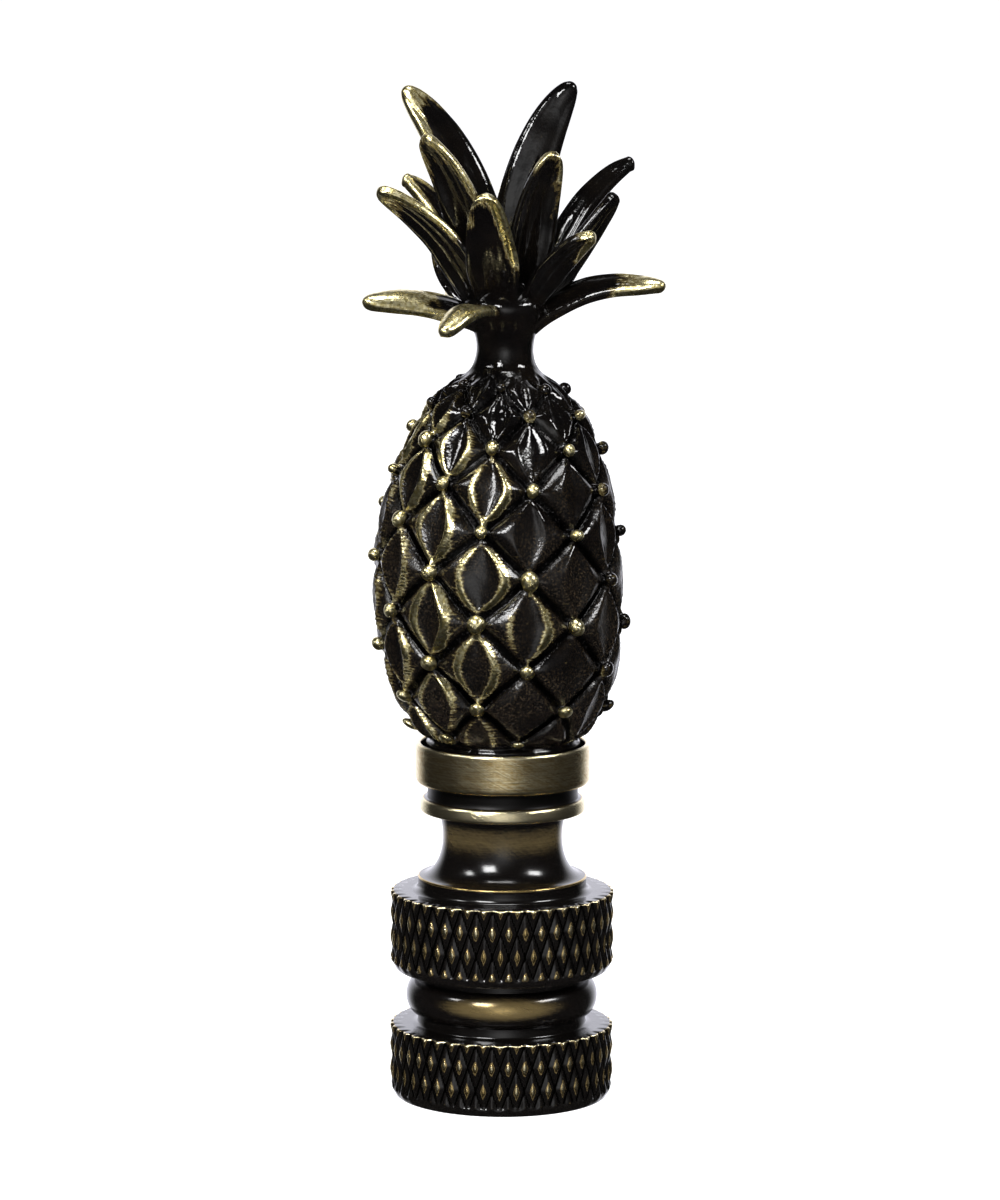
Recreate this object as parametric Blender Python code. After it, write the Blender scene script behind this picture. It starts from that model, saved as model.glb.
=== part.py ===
"""Pineapple lamp finial in antique brass, in two pieces.

A cast pineapple, with its quilted fruit, neck and crown of leaves in one piece, sits in the
collar of a turned base with two knurled discs. Metres, +Z up, seen from the front along +Y.
The origin is the middle of the base's underside, on the axis of the screw hole.
"""
import math
from collections import namedtuple

import bmesh
import bpy
from mathutils import Matrix, Quaternion, Vector

MM = 0.001

# Turned base: heights above the underside, and radii
LOWER_DISC_TOP = 4.10 * MM
UPPER_DISC_BOTTOM = 7.30 * MM
UPPER_DISC_TOP = 11.75 * MM
LIP_HEIGHT = 12.60 * MM
COVE_WAIST_HEIGHT = 14.80 * MM
THIN_DISC_BOTTOM = 16.30 * MM
THIN_DISC_TOP = 17.08 * MM
COLLAR_BOTTOM = 17.95 * MM
COLLAR_TOP = 20.22 * MM
DISC_RADIUS = 6.33 * MM
DISC_CHAMFER = 0.28 * MM
NECK_RADIUS = 4.75 * MM
BEAD_RING_RADIUS = 5.42 * MM
BEAD_RING_HEIGHT = 5.72 * MM
BEAD_RING_HALF_THICKNESS = 1.00 * MM
LIP_RADIUS = 4.76 * MM
COVE_WAIST_RADIUS = 3.38 * MM
COVE_TOP_RADIUS = 3.62 * MM
THIN_DISC_RADIUS = 4.64 * MM
GROOVE_RADIUS = 4.25 * MM
COLLAR_RADIUS = 4.92 * MM
EDGE_ROUND = 0.20 * MM
COVE_RINGS = 5
BEAD_RING_RINGS = 5

# Seat for the fruit in the collar's top
SEAT_RADIUS = 4.62 * MM
SEAT_DEPTH = 0.80 * MM
SEAT_GAP = 0.30 * MM

# Screw hole in the underside: 1/4-27, drawn as a plain hole of the thread's outer diameter
SCREW_HOLE_RADIUS = 3.20 * MM
SCREW_HOLE_DEPTH = 9.50 * MM
DRILL_POINT_DEPTH = 1.20 * MM
MOUTH_CHAMFER = 0.25 * MM

# Diamond knurl on the rims of both discs
KNURL_TEETH = 42
KNURL_DEPTH = 0.20 * MM
KNURL_ROWS = 3
KNURL_TURN = math.radians(3.6)

# Fruit: an egg made of an ellipse above its widest height and a fuller curve below it
FRUIT_FOOT = 20.50 * MM
FRUIT_WIDEST_HEIGHT = 28.85 * MM
FRUIT_RADIUS = 6.58 * MM
FRUIT_RISE = 12.75 * MM
FRUIT_DROP = 9.75 * MM
FRUIT_DROP_FULLNESS = 2.4
FRUIT_LOWEST_SHARE = 0.95
FRUIT_SHOULDER = 40.45 * MM
FRUIT_SIDE_BULGE = -0.33 * MM

# Spiral lattice of diamonds: fifteen to a row, on seven spirals one way and eight the other
CELLS_PER_ROW = 15
RIGHT_SPIRALS = 7
LEFT_SPIRALS = 8
LATTICE_TURN = math.radians(11.2)
LATTICE_LEAN_PER_ROW = math.radians(2.35)
LATTICE_START = math.radians(-39.4)
LATTICE_RISE_PER_ROW = math.radians(22.85)
LATTICE_ROWS = 5

# Relief of each diamond
PAD_HEIGHT = 0.38 * MM
CREST_HEIGHT = 0.20 * MM
HOLLOW_DEPTH = 0.30 * MM
HOLLOW_HALF_WIDTH = 0.42
CHANNEL_HALF_WIDTH = 0.07
RIM_INSET = 0.15
STUD_RADIUS = 0.50 * MM
STUD_FOOT = 0.125
STUD_HEIGHT = 0.70 * MM
SHOULDER_WIDTH = 0.30
NARROWEST_HOLLOW = 0.02
FADE_START = 41.25 * MM
FADE_LENGTH = 4.00 * MM
FADED_RELIEF = 0.40
FADED_STUD = 0.45

# Neck above the fruit and the stem that the leaves grow from
NECK_WAIST_HEIGHT = 42.35 * MM
NECK_WAIST_RADIUS = 1.57 * MM
NECK_FOOT_HEIGHT = 40.90 * MM
NECK_FOOT_RADIUS = 2.30 * MM
STEM_FOOT_HEIGHT = 43.60 * MM
STEM_FOOT_RADIUS = 1.85 * MM
STEM_RADIUS = 2.35 * MM
STEM_WIDEST_HEIGHT = 44.60 * MM
STEM_TOP = 47.20 * MM
STEM_SIDES = 20

# Leaf blades
LEAF_STATIONS = 5
LEAF_HALF_THICKNESS = 0.34 * MM
LEAF_TIP_RADIUS = 0.40 * MM

# Crown leaves. A blade's middle line is a curve from the stem towards its bend and then to its
# tip. turn is its direction from the front in degrees, + to the right; bend and tip are
# (distance from the axis, height) and half_width is the blade's, all in mm; roll turns the
# blade about its own middle line, in degrees.
Leaf = namedtuple("Leaf", "name turn root bend tip half_width roll")
LEAVES = (
    Leaf("tall_left", -112, (0.7, 45.4), (1.8, 53.2), (6.2, 56.8), 1.55, -55),
    Leaf("tall_right", 115, (0.5, 45.4), (0.8, 53.2), (4.15, 57.15), 1.60, 58),
    Leaf("upper_left", -68, (1.0, 45.2), (1.9, 50.9), (4.9, 54.4), 1.50, 38),
    Leaf("upper_right", 58, (1.1, 45.2), (1.6, 50.7), (3.2, 53.5), 1.45, -38),
    Leaf("middle_front", -17, (1.2, 44.9), (2.7, 48.8), (3.9, 51.3), 1.60, 5),
    Leaf("middle_left", -76, (1.3, 44.8), (3.0, 49.5), (7.3, 51.4), 1.38, 33),
    Leaf("middle_left_back", -106, (1.2, 45.4), (3.4, 51.0), (6.0, 51.8), 1.00, -30),
    Leaf("right_curl", 105, (1.6, 45.2), (4.2, 51.8), (7.4, 52.8), 0.95, 40),
    Leaf("right_spike", 80, (1.5, 44.6), (4.1, 48.2), (6.15, 51.2), 1.05, -35),
    Leaf("small_front_right", 52, (1.4, 44.8), (4.2, 48.8), (6.15, 49.0), 1.10, -25),
    Leaf("low_right", 76, (1.2, 43.7), (4.0, 47.0), (9.12, 46.1), 1.20, 33),
    Leaf("low_left", -76, (1.3, 44.0), (4.2, 45.8), (8.15, 45.1), 1.25, -32),
    Leaf("low_front", -29, (1.2, 44.6), (4.6, 45.8), (7.0, 43.7), 1.15, 0),
    Leaf("back_left", -130, (1.4, 44.4), (4.9, 45.8), (4.8, 49.0), 1.25, 20),
    Leaf("back_right", 133, (1.4, 44.4), (4.9, 45.6), (5.5, 48.8), 1.25, -20),
    Leaf("low_back_left", -150, (1.3, 44.2), (4.2, 46.0), (6.4, 45.2), 1.15, 0),
    Leaf("low_back_right", 158, (1.3, 44.2), (4.2, 46.2), (6.4, 45.4), 1.15, 0),
    Leaf("middle_back", 178, (1.0, 44.6), (2.4, 48.2), (5.0, 49.6), 1.40, 0),
    Leaf("upper_back_left", -150, (0.9, 45.0), (1.4, 49.8), (4.6, 52.2), 1.35, 0),
    Leaf("upper_back_right", 150, (0.9, 45.0), (1.4, 50.0), (4.4, 53.0), 1.35, 0),
)

# Blade: width at the root as a share of the widest, how far up it is widest, how late and how
# bluntly it tapers, how far its edges curl outwards as a share of its half width, the share of
# the length where its last section stands, and its section as shares of the half width and of
# the half thickness
ROOT_WIDTH_SHARE = 0.70
WIDEST_SHARE = 0.35
TAPER_START = 1.7
TAPER_BLUNTNESS = 0.4
CUP_SHARE = 0.25
LAST_SECTION = 0.95
BLADE_SECTION = ((-1.0, 0.0), (-0.55, -1.0), (0.55, -1.0), (1.0, 0.0), (0.55, 1.0), (-0.55, 1.0))

WELD_DISTANCE = 0.002 * MM
SHARP_ANGLE = math.radians(38)

# Unions are worked out with one unit to a millimetre, where they come out cleanest
UNION_SCALE = 1.0 / MM


def clear_scene():
    """Remove whatever the new file holds."""
    for found in list(bpy.data.objects):
        bpy.data.objects.remove(found, do_unlink=True)


def brass(name, colour, roughness):
    """Antique brass with its own patina colour and gloss."""
    material = bpy.data.materials.new(name)
    material.use_nodes = True
    shader = material.node_tree.nodes["Principled BSDF"]
    shader.inputs["Base Color"].default_value = (*colour, 1.0)
    shader.inputs["Metallic"].default_value = 1.0
    shader.inputs["Roughness"].default_value = roughness
    return material


def polar(radius, turn, height):
    """Point at a turn from the front, + to the right, at a radius and a height."""
    return Vector((radius * math.sin(turn), -radius * math.cos(turn), height))


def smooth_step(value):
    """0 below 0, 1 above 1, with a smooth ramp between."""
    value = min(max(value, 0.0), 1.0)
    return value * value * (3.0 - 2.0 * value)


def shade(mesh):
    """Shade a mesh smooth, with its sharp edges kept."""
    mesh.shade_smooth()
    mesh.set_sharp_from_angle(angle=SHARP_ANGLE)


def new_object(name, bm, material):
    """Turn a finished bmesh into a named object with smooth shading."""
    mesh = bpy.data.meshes.new(name)
    bm.to_mesh(mesh)
    bm.free()
    mesh.materials.append(material)
    shade(mesh)
    made = bpy.data.objects.new(name, mesh)
    bpy.context.collection.objects.link(made)
    return made


# Turned base

def add_ring(bm, radii, height, turn=0.0):
    """Ring of vertices, one to each radius, evenly spaced round the axis."""
    step = 2.0 * math.pi / len(radii)
    return [bm.verts.new(polar(radius, turn + i * step, height)) for i, radius in enumerate(radii)]


def join_rings(bm, upper, lower):
    """Band of faces between two rings, where one may have twice the other's vertices."""
    if len(upper) == len(lower):
        for i in range(len(upper)):
            after = (i + 1) % len(upper)
            bm.faces.new((upper[i], lower[i], lower[after], upper[after]))
        return
    coarse_above = len(upper) < len(lower)
    coarse, fine = (upper, lower) if coarse_above else (lower, upper)
    for i in range(len(coarse)):
        after = (i + 1) % len(coarse)
        near = fine[2 * i]
        middle = fine[2 * i + 1]
        far = fine[(2 * i + 2) % len(fine)]
        faces = ((coarse[i], near, middle), (coarse[i], middle, coarse[after]), (coarse[after], middle, far))
        for face in faces:
            bm.faces.new(face if coarse_above else tuple(reversed(face)))


def join_knurl_rows(bm, upper, lower, row):
    """Band between two knurl rows, split along the low corners so each diamond is a pyramid."""
    for i in range(len(upper)):
        after = (i + 1) % len(upper)
        if (i + row) % 2 == 0:
            bm.faces.new((upper[i], lower[i], upper[after]))
            bm.faces.new((lower[i], lower[after], upper[after]))
        else:
            bm.faces.new((upper[i], lower[i], lower[after]))
            bm.faces.new((upper[i], lower[after], upper[after]))


def knurled_rim(bm, bottom, top):
    """Rows of staggered diamond points from the top edge of a disc down to its chamfer."""
    height = (top - bottom) / KNURL_ROWS
    rows = []
    for row in range(KNURL_ROWS + 1):
        radii = [
            DISC_RADIUS - (KNURL_DEPTH if (i + row) % 2 else 0.0)
            for i in range(2 * KNURL_TEETH)
        ]
        rows.append(add_ring(bm, radii, top - row * height, KNURL_TURN + math.pi / KNURL_TEETH))
    for row in range(KNURL_ROWS):
        join_knurl_rows(bm, rows[row], rows[row + 1], row)
    return rows


def plain_ring(bm, radius, height):
    """Ring of the turned parts, which have one vertex for each knurl tooth."""
    return add_ring(bm, [radius] * KNURL_TEETH, height, KNURL_TURN + math.pi / KNURL_TEETH)


def arc_points(centre, radius_out, radius_up, first, last, count):
    """Points (radius, height) along an elliptic arc, from one angle to another in degrees."""
    points = []
    for i in range(count):
        angle = math.radians(first + (last - first) * i / (count - 1))
        points.append((centre[0] + radius_out * math.cos(angle), centre[1] + radius_up * math.sin(angle)))
    return points


def rounded_band(radius, bottom, top):
    """Outline of a plain turned band from its top edge to its bottom edge, with eased edges."""
    return [
        (radius - EDGE_ROUND, top),
        (radius, top - EDGE_ROUND),
        (radius, bottom + EDGE_ROUND),
        (radius - EDGE_ROUND, bottom),
    ]


def upper_outline():
    """Outline from the seat's floor over the collar, groove, thin disc, cove and lip."""
    seat_floor = COLLAR_TOP - SEAT_DEPTH
    cove_low = arc_points(
        (LIP_RADIUS, COVE_WAIST_HEIGHT), LIP_RADIUS - COVE_WAIST_RADIUS,
        COVE_WAIST_HEIGHT - LIP_HEIGHT, 180, 270, COVE_RINGS,
    )
    return (
        [(SEAT_RADIUS, seat_floor), (SEAT_RADIUS, COLLAR_TOP)]
        + rounded_band(COLLAR_RADIUS, COLLAR_BOTTOM, COLLAR_TOP)
        + [(GROOVE_RADIUS, COLLAR_BOTTOM), (GROOVE_RADIUS, THIN_DISC_TOP)]
        + rounded_band(THIN_DISC_RADIUS, THIN_DISC_BOTTOM, THIN_DISC_TOP)
        + [(COVE_TOP_RADIUS, THIN_DISC_BOTTOM)]
        + cove_low
        + [(NECK_RADIUS, UPPER_DISC_TOP)]
    )


def middle_outline():
    """Outline of the neck and bead ring between the two knurled discs."""
    ring = arc_points(
        (NECK_RADIUS, BEAD_RING_HEIGHT), BEAD_RING_RADIUS - NECK_RADIUS,
        BEAD_RING_HALF_THICKNESS, 90, -90, BEAD_RING_RINGS,
    )
    return [(NECK_RADIUS, UPPER_DISC_BOTTOM)] + ring + [(NECK_RADIUS, LOWER_DISC_TOP)]


def hole_outline():
    """Outline of the screw hole from its mouth up to the drill point."""
    return [
        (SCREW_HOLE_RADIUS + MOUTH_CHAMFER, 0.0),
        (SCREW_HOLE_RADIUS, MOUTH_CHAMFER),
        (SCREW_HOLE_RADIUS, SCREW_HOLE_DEPTH),
    ]


def build_base():
    """Turned base in one closed skin, from the seat's middle over the outside to the hole."""
    bm = bmesh.new()
    seat_middle = bm.verts.new((0.0, 0.0, COLLAR_TOP - SEAT_DEPTH))
    rings = [plain_ring(bm, *point) for point in upper_outline()]
    for i in range(KNURL_TEETH):
        bm.faces.new((seat_middle, rings[0][i], rings[0][(i + 1) % KNURL_TEETH]))
    for upper, lower in zip(rings, rings[1:]):
        join_rings(bm, upper, lower)
    last = rings[-1]
    for bottom, top, below in (
        (UPPER_DISC_BOTTOM, UPPER_DISC_TOP, middle_outline()),
        (0.0, LOWER_DISC_TOP, hole_outline()),
    ):
        rows = knurled_rim(bm, bottom + DISC_CHAMFER, top)
        join_rings(bm, last, rows[0])
        chamfer_foot = plain_ring(bm, DISC_RADIUS - DISC_CHAMFER, bottom)
        join_rings(bm, rows[-1], chamfer_foot)
        last = chamfer_foot
        for point in below:
            ring = plain_ring(bm, *point)
            join_rings(bm, last, ring)
            last = ring
    drill_point = bm.verts.new((0.0, 0.0, SCREW_HOLE_DEPTH + DRILL_POINT_DEPTH))
    for i in range(KNURL_TEETH):
        bm.faces.new((drill_point, last[(i + 1) % KNURL_TEETH], last[i]))
    bmesh.ops.recalc_face_normals(bm, faces=bm.faces)
    return new_object("turned_base", bm, brass("turned_antique_brass", (0.17, 0.13, 0.06), 0.32))


# Cast fruit

def fruit_radius(height):
    """Radius of the channel floors at a height."""
    if height >= FRUIT_WIDEST_HEIGHT:
        share = min((height - FRUIT_WIDEST_HEIGHT) / FRUIT_RISE, 1.0)
        return FRUIT_RADIUS * math.sqrt(1.0 - share * share)
    share = min((FRUIT_WIDEST_HEIGHT - height) / FRUIT_DROP, FRUIT_LOWEST_SHARE)
    return FRUIT_RADIUS * (1.0 - share ** FRUIT_DROP_FULLNESS) ** (1.0 / FRUIT_DROP_FULLNESS)


def side_bulge(height):
    """The casting swells a little to one side, and not at its foot or its neck."""
    share = (height - COLLAR_TOP) / (NECK_WAIST_HEIGHT - COLLAR_TOP)
    return FRUIT_SIDE_BULGE * math.sin(math.pi * min(max(share, 0.0), 1.0)) ** 2


def lattice_place(index, s, t):
    """Turn and height of a point in a diamond.

    Each stud stands one fifteenth of a row above the one before it and two columns to its
    left. s runs one column right to stud index + 7, and t one column left to stud index + 8.
    """
    column = 2.0 * math.pi / CELLS_PER_ROW
    row = (index + RIGHT_SPIRALS * s + LEFT_SPIRALS * t) / CELLS_PER_ROW
    turn = LATTICE_TURN + LATTICE_LEAN_PER_ROW * row + column * (s - t - 2.0 * index)
    rise = LATTICE_START + LATTICE_RISE_PER_ROW * row
    height = FRUIT_WIDEST_HEIGHT + FRUIT_RISE * math.sin(min(rise, math.pi / 2.0))
    return turn, height


def relief(s, t, scale):
    """Height of the relief in one diamond at s, t between 0 and 1."""
    inset = min(s, 1.0 - s, t, 1.0 - t)
    pad = smooth_step((inset - CHANNEL_HALF_WIDTH) / (RIM_INSET - CHANNEL_HALF_WIDTH))
    along = min(max(((s + t) / 2.0 - RIM_INSET) / (1.0 - 2.0 * RIM_INSET), 0.0), 1.0)
    across = abs(s - t)
    half_width = max(HOLLOW_HALF_WIDTH * math.sin(math.pi * along), NARROWEST_HOLLOW)
    inside = max(1.0 - (across / half_width) ** 2, 0.0)
    shoulder = max(1.0 - abs(across - half_width) / SHOULDER_WIDTH, 0.0) * math.sin(math.pi * along)
    return scale * pad * (PAD_HEIGHT + CREST_HEIGHT * shoulder * (1.0 - inside) - HOLLOW_DEPTH * inside)


def stud(offset, scale):
    """Height of the round stud at an offset in metres from the corner where it sits."""
    share = min(offset / STUD_RADIUS, 1.0)
    return scale * STUD_HEIGHT * math.sqrt(1.0 - share * share)


def fruit_point(index, s, t):
    """Point of the quilted skin in the diamond above stud number index."""
    turn, height = lattice_place(index, s, t)
    radius = fruit_radius(height)
    fade = smooth_step((FADE_START - height) / FADE_LENGTH)
    near_s, near_t = round(s), round(t)
    corner_turn, corner_height = lattice_place(index, near_s, near_t)
    offset = math.hypot((turn - corner_turn) * radius, height - corner_height)
    pad_scale = FADED_RELIEF + (1.0 - FADED_RELIEF) * fade
    stud_scale = FADED_STUD + (1.0 - FADED_STUD) * fade
    rise = max(relief(s, t, pad_scale), stud(offset, stud_scale))
    point = polar(radius + rise, turn, height)
    point.x += side_bulge(height)
    return point


def add_diamond(bm, index):
    """Faces of one diamond, made a quarter at a time and turned about its middle.

    Each quarter has a quarter of the stud at its corner, the foot of that stud, half of the
    channel along one side, and the pad's rim and face up to the middle.
    """
    verts = {}

    def corner(s, t, quarter):
        """Vertex at s, t in the first quarter, turned to another quarter."""
        for _ in range(quarter % 4):
            s, t = 1.0 - t, s
        key = (round(s, 6), round(t, 6))
        if key not in verts:
            verts[key] = bm.verts.new(fruit_point(index, s, t))
        return verts[key]

    for quarter in range(4):
        top = corner(0.0, 0.0, quarter)
        foot = corner(STUD_FOOT, 0.0, quarter)
        foot_middle = corner(0.72 * STUD_FOOT, 0.72 * STUD_FOOT, quarter)
        foot_side = corner(0.0, STUD_FOOT, quarter)
        far_foot = corner(1.0 - STUD_FOOT, 0.0, quarter)
        rim = corner(RIM_INSET, RIM_INSET, quarter)
        far_rim = corner(1.0 - RIM_INSET, RIM_INSET, quarter)
        crest = corner(0.5, RIM_INSET, quarter)
        side_crest = corner(RIM_INSET, 0.5, quarter)
        middle = corner(0.5, 0.5, quarter)
        for face in (
            (top, foot, foot_middle), (top, foot_middle, foot_side),
            (foot, rim, foot_middle), (foot_middle, rim, foot_side),
            (foot, far_foot, crest), (foot, crest, rim), (far_foot, far_rim, crest),
            (rim, crest, middle), (rim, middle, side_crest),
        ):
            bm.faces.new(face)


def extend_loop(bm, edges, outline):
    """Carry an open edge loop through rings (radius, height), turn by turn, and cap it."""
    for radius, height in outline:
        grown = bmesh.ops.extrude_edge_only(bm, edges=edges)["geom"]
        edges = [item for item in grown if isinstance(item, bmesh.types.BMEdge)]
        for vert in {vert for edge in edges for vert in edge.verts}:
            vert.co = polar(radius, math.atan2(vert.co.x, -vert.co.y), height)
    bmesh.ops.holes_fill(bm, edges=edges, sides=0)


def open_edges(bm, above):
    """Edges of the open rim above or below the fruit's widest height."""
    return [
        edge for edge in bm.edges
        if edge.is_boundary and (edge.verts[0].co.z > FRUIT_WIDEST_HEIGHT) == above
    ]


def neck_radius(height):
    """Radius of the neck: it flares from its waist as the square of the distance."""
    if height < NECK_WAIST_HEIGHT:
        end_height, end_radius = NECK_FOOT_HEIGHT, NECK_FOOT_RADIUS
    else:
        end_height, end_radius = STEM_FOOT_HEIGHT, STEM_FOOT_RADIUS
    share = (height - NECK_WAIST_HEIGHT) / (end_height - NECK_WAIST_HEIGHT)
    return NECK_WAIST_RADIUS + (end_radius - NECK_WAIST_RADIUS) * share * share


def neck_outline():
    """Neck from above the fruit's shoulder through its waist up to the stem's foot."""
    below = NECK_WAIST_HEIGHT - NECK_FOOT_HEIGHT
    above = STEM_FOOT_HEIGHT - NECK_WAIST_HEIGHT
    heights = [NECK_FOOT_HEIGHT + below * share for share in (0.0, 0.3, 0.65, 1.0)]
    heights += [NECK_WAIST_HEIGHT + above * share for share in (0.5, 0.8, 1.0)]
    return [(neck_radius(height), height) for height in heights]


def build_fruit(material):
    """Quilted fruit with its foot below and its neck above, as one closed skin."""
    bm = bmesh.new()
    first = -RIGHT_SPIRALS - LEFT_SPIRALS - 3
    last = LATTICE_ROWS * CELLS_PER_ROW + 2
    for index in range(first, last):
        top = lattice_place(index, 1.0, 1.0)[1]
        bottom = lattice_place(index, 0.0, 0.0)[1]
        if top > FRUIT_FOOT and bottom < FRUIT_SHOULDER:
            add_diamond(bm, index)
    bmesh.ops.remove_doubles(bm, verts=bm.verts, dist=WELD_DISTANCE)
    for height, side in ((FRUIT_FOOT, -1.0), (FRUIT_SHOULDER, 1.0)):
        bmesh.ops.bisect_plane(
            bm, geom=bm.verts[:] + bm.edges[:] + bm.faces[:], dist=WELD_DISTANCE,
            plane_co=(0.0, 0.0, height), plane_no=(0.0, 0.0, side), clear_outer=True,
        )
    foot_radius = SEAT_RADIUS - SEAT_GAP
    foot = [(foot_radius, COLLAR_TOP + 0.1 * MM), (foot_radius, COLLAR_TOP - SEAT_DEPTH + SEAT_GAP)]
    extend_loop(bm, open_edges(bm, above=False), foot)
    extend_loop(bm, open_edges(bm, above=True), neck_outline())
    bmesh.ops.recalc_face_normals(bm, faces=bm.faces)
    return new_object("pineapple_casting", bm, material)


# Crown of leaves

def blend(first, second, share):
    """Straight blend between two points."""
    return first * (1.0 - share) + second * share


def leaf_centre(leaf, share):
    """Point of a leaf's middle line, a quadratic curve through its root, bend and tip."""
    turn = math.radians(leaf.turn)
    root, bend, tip = (
        polar(reach * MM, turn, height * MM) for reach, height in (leaf.root, leaf.bend, leaf.tip)
    )
    return blend(blend(root, bend, share), blend(bend, tip, share), share)


def leaf_direction(leaf, share):
    """Direction of a leaf's middle line, towards its tip."""
    step = 0.01
    before = leaf_centre(leaf, max(share - step, 0.0))
    after = leaf_centre(leaf, min(share + step, 1.0))
    return (after - before).normalized()


def leaf_half_width(leaf, share):
    """Half width of a blade: widest at its lower third, tapering to a blunt tip."""
    taper = (1.0 - share ** TAPER_START) ** TAPER_BLUNTNESS
    swell = ROOT_WIDTH_SHARE + (1.0 - ROOT_WIDTH_SHARE) * smooth_step(share / WIDEST_SHARE)
    return max(leaf.half_width * MM * taper * swell, LEAF_TIP_RADIUS)


def leaf_section(leaf, share):
    """Six points round the blade at a share of its length, with its edges curled outwards."""
    centre = leaf_centre(leaf, share)
    along = leaf_direction(leaf, share)
    side = polar(1.0, math.radians(leaf.turn + 90), 0.0)
    side.rotate(Quaternion(along, math.radians(leaf.roll)))
    outward = side.cross(along).normalized()
    width = leaf_half_width(leaf, share)
    return [
        centre + side * x * width + outward * (y * LEAF_HALF_THICKNESS + CUP_SHARE * x * x * width)
        for x, y in BLADE_SECTION
    ]


def build_leaf(leaf, material):
    """One leaf as a closed blade with a blunt tip."""
    bm = bmesh.new()
    rings = []
    for i in range(LEAF_STATIONS):
        share = LAST_SECTION * i / (LEAF_STATIONS - 1)
        rings.append([bm.verts.new(point) for point in leaf_section(leaf, share)])
    for lower, upper in zip(rings, rings[1:]):
        for i in range(len(lower)):
            after = (i + 1) % len(lower)
            bm.faces.new((lower[i], lower[after], upper[after], upper[i]))
    for ring, share in ((rings[0], 0.0), (rings[-1], 1.0)):
        end = bm.verts.new(leaf_centre(leaf, share))
        for i in range(len(ring)):
            bm.faces.new((ring[i], ring[(i + 1) % len(ring)], end))
    bmesh.ops.recalc_face_normals(bm, faces=bm.faces)
    return new_object("leaf_" + leaf.name, bm, material)


def build_stem(material):
    """Stub inside the crown that the leaves grow from, sunk into the top of the neck."""
    bm = bmesh.new()
    sides = STEM_SIDES
    outline = (
        (NECK_WAIST_RADIUS * 0.8, NECK_WAIST_HEIGHT + 0.5 * MM),
        (STEM_FOOT_RADIUS * 0.99, STEM_FOOT_HEIGHT - 0.1 * MM),
        (STEM_RADIUS, STEM_WIDEST_HEIGHT),
        (STEM_RADIUS * 0.6, STEM_TOP - 0.5 * MM),
    )
    rings = [add_ring(bm, [radius] * sides, height) for radius, height in outline]
    for lower, upper in zip(rings, rings[1:]):
        join_rings(bm, upper, lower)
    for ring, height in ((rings[0], outline[0][1]), (rings[-1], STEM_TOP)):
        centre = bm.verts.new((0.0, 0.0, height))
        for i in range(sides):
            bm.faces.new((ring[i], ring[(i + 1) % sides], centre))
    bmesh.ops.recalc_face_normals(bm, faces=bm.faces)
    return new_object("stem", bm, material)


def scale_triangles(shape, factor):
    """Cut a mesh into triangles and scale it."""
    bm = bmesh.new()
    bm.from_mesh(shape)
    bmesh.ops.triangulate(bm, faces=bm.faces)
    bm.transform(Matrix.Scale(factor, 4))
    bm.to_mesh(shape)
    bm.free()


def unite(target, part):
    """Fuse a closed part into the target and remove the part."""
    scale_triangles(target.data, UNION_SCALE)
    scale_triangles(part.data, UNION_SCALE)
    union = target.modifiers.new("Union", "BOOLEAN")
    union.operation = "UNION"
    union.solver = "EXACT"
    union.object = part
    graph = bpy.context.evaluated_depsgraph_get()
    fused = bpy.data.meshes.new_from_object(target.evaluated_get(graph))
    target.modifiers.remove(union)
    scale_triangles(fused, 1.0 / UNION_SCALE)
    target.data = fused
    bpy.data.objects.remove(part, do_unlink=True)


def build_casting():
    """Fruit, neck, stem and leaves, fused into one casting."""
    material = brass("cast_antique_brass", (0.045, 0.034, 0.018), 0.30)
    crown = build_stem(material)
    for leaf in LEAVES:
        unite(crown, build_leaf(leaf, material))
    casting = build_fruit(material)
    unite(casting, crown)
    shade(casting.data)
    return casting


def main():
    clear_scene()
    build_base()
    build_casting()


main()
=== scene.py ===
"""Pineapple lamp finial in antique brass: the fine surface, finishes, light and camera.

Each piece is worked out in the row's frame, in metres: +Z up, the front towards -Y, and the
origin in the middle of the base's underside.
"""

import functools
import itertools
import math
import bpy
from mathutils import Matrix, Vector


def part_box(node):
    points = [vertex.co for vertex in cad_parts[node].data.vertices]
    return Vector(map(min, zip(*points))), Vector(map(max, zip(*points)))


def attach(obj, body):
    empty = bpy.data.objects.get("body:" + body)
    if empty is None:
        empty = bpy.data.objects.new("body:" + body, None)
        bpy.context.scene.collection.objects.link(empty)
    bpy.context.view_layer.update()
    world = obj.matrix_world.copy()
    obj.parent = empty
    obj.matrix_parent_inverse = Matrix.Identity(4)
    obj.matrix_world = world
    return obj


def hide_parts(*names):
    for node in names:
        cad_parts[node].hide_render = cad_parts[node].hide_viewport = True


bl_info = {
    "name": "Pineapple Lamp Finial",
    "version": (1, 0, 0),
    "blender": (4, 5, 0),
    "location": "3D View > Sidebar > Finial",
    "description": "Builds a cast pineapple finial in antique brass on its turned base",
    "category": "Add Mesh",
}

from collections import namedtuple

import bpy
import numpy as np
from mathutils import Matrix, Vector

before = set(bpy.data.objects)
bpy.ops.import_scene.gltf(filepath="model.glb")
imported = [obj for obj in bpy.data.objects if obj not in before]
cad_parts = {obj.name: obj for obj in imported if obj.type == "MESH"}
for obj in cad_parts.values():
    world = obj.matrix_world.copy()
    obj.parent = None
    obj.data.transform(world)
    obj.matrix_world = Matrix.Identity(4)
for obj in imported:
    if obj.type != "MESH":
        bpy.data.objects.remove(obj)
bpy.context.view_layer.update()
_, BASE_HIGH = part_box("turned_base")
CASTING_LOW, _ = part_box("pineapple_casting")

MM = 0.001
TAU = 2.0 * math.pi

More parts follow.
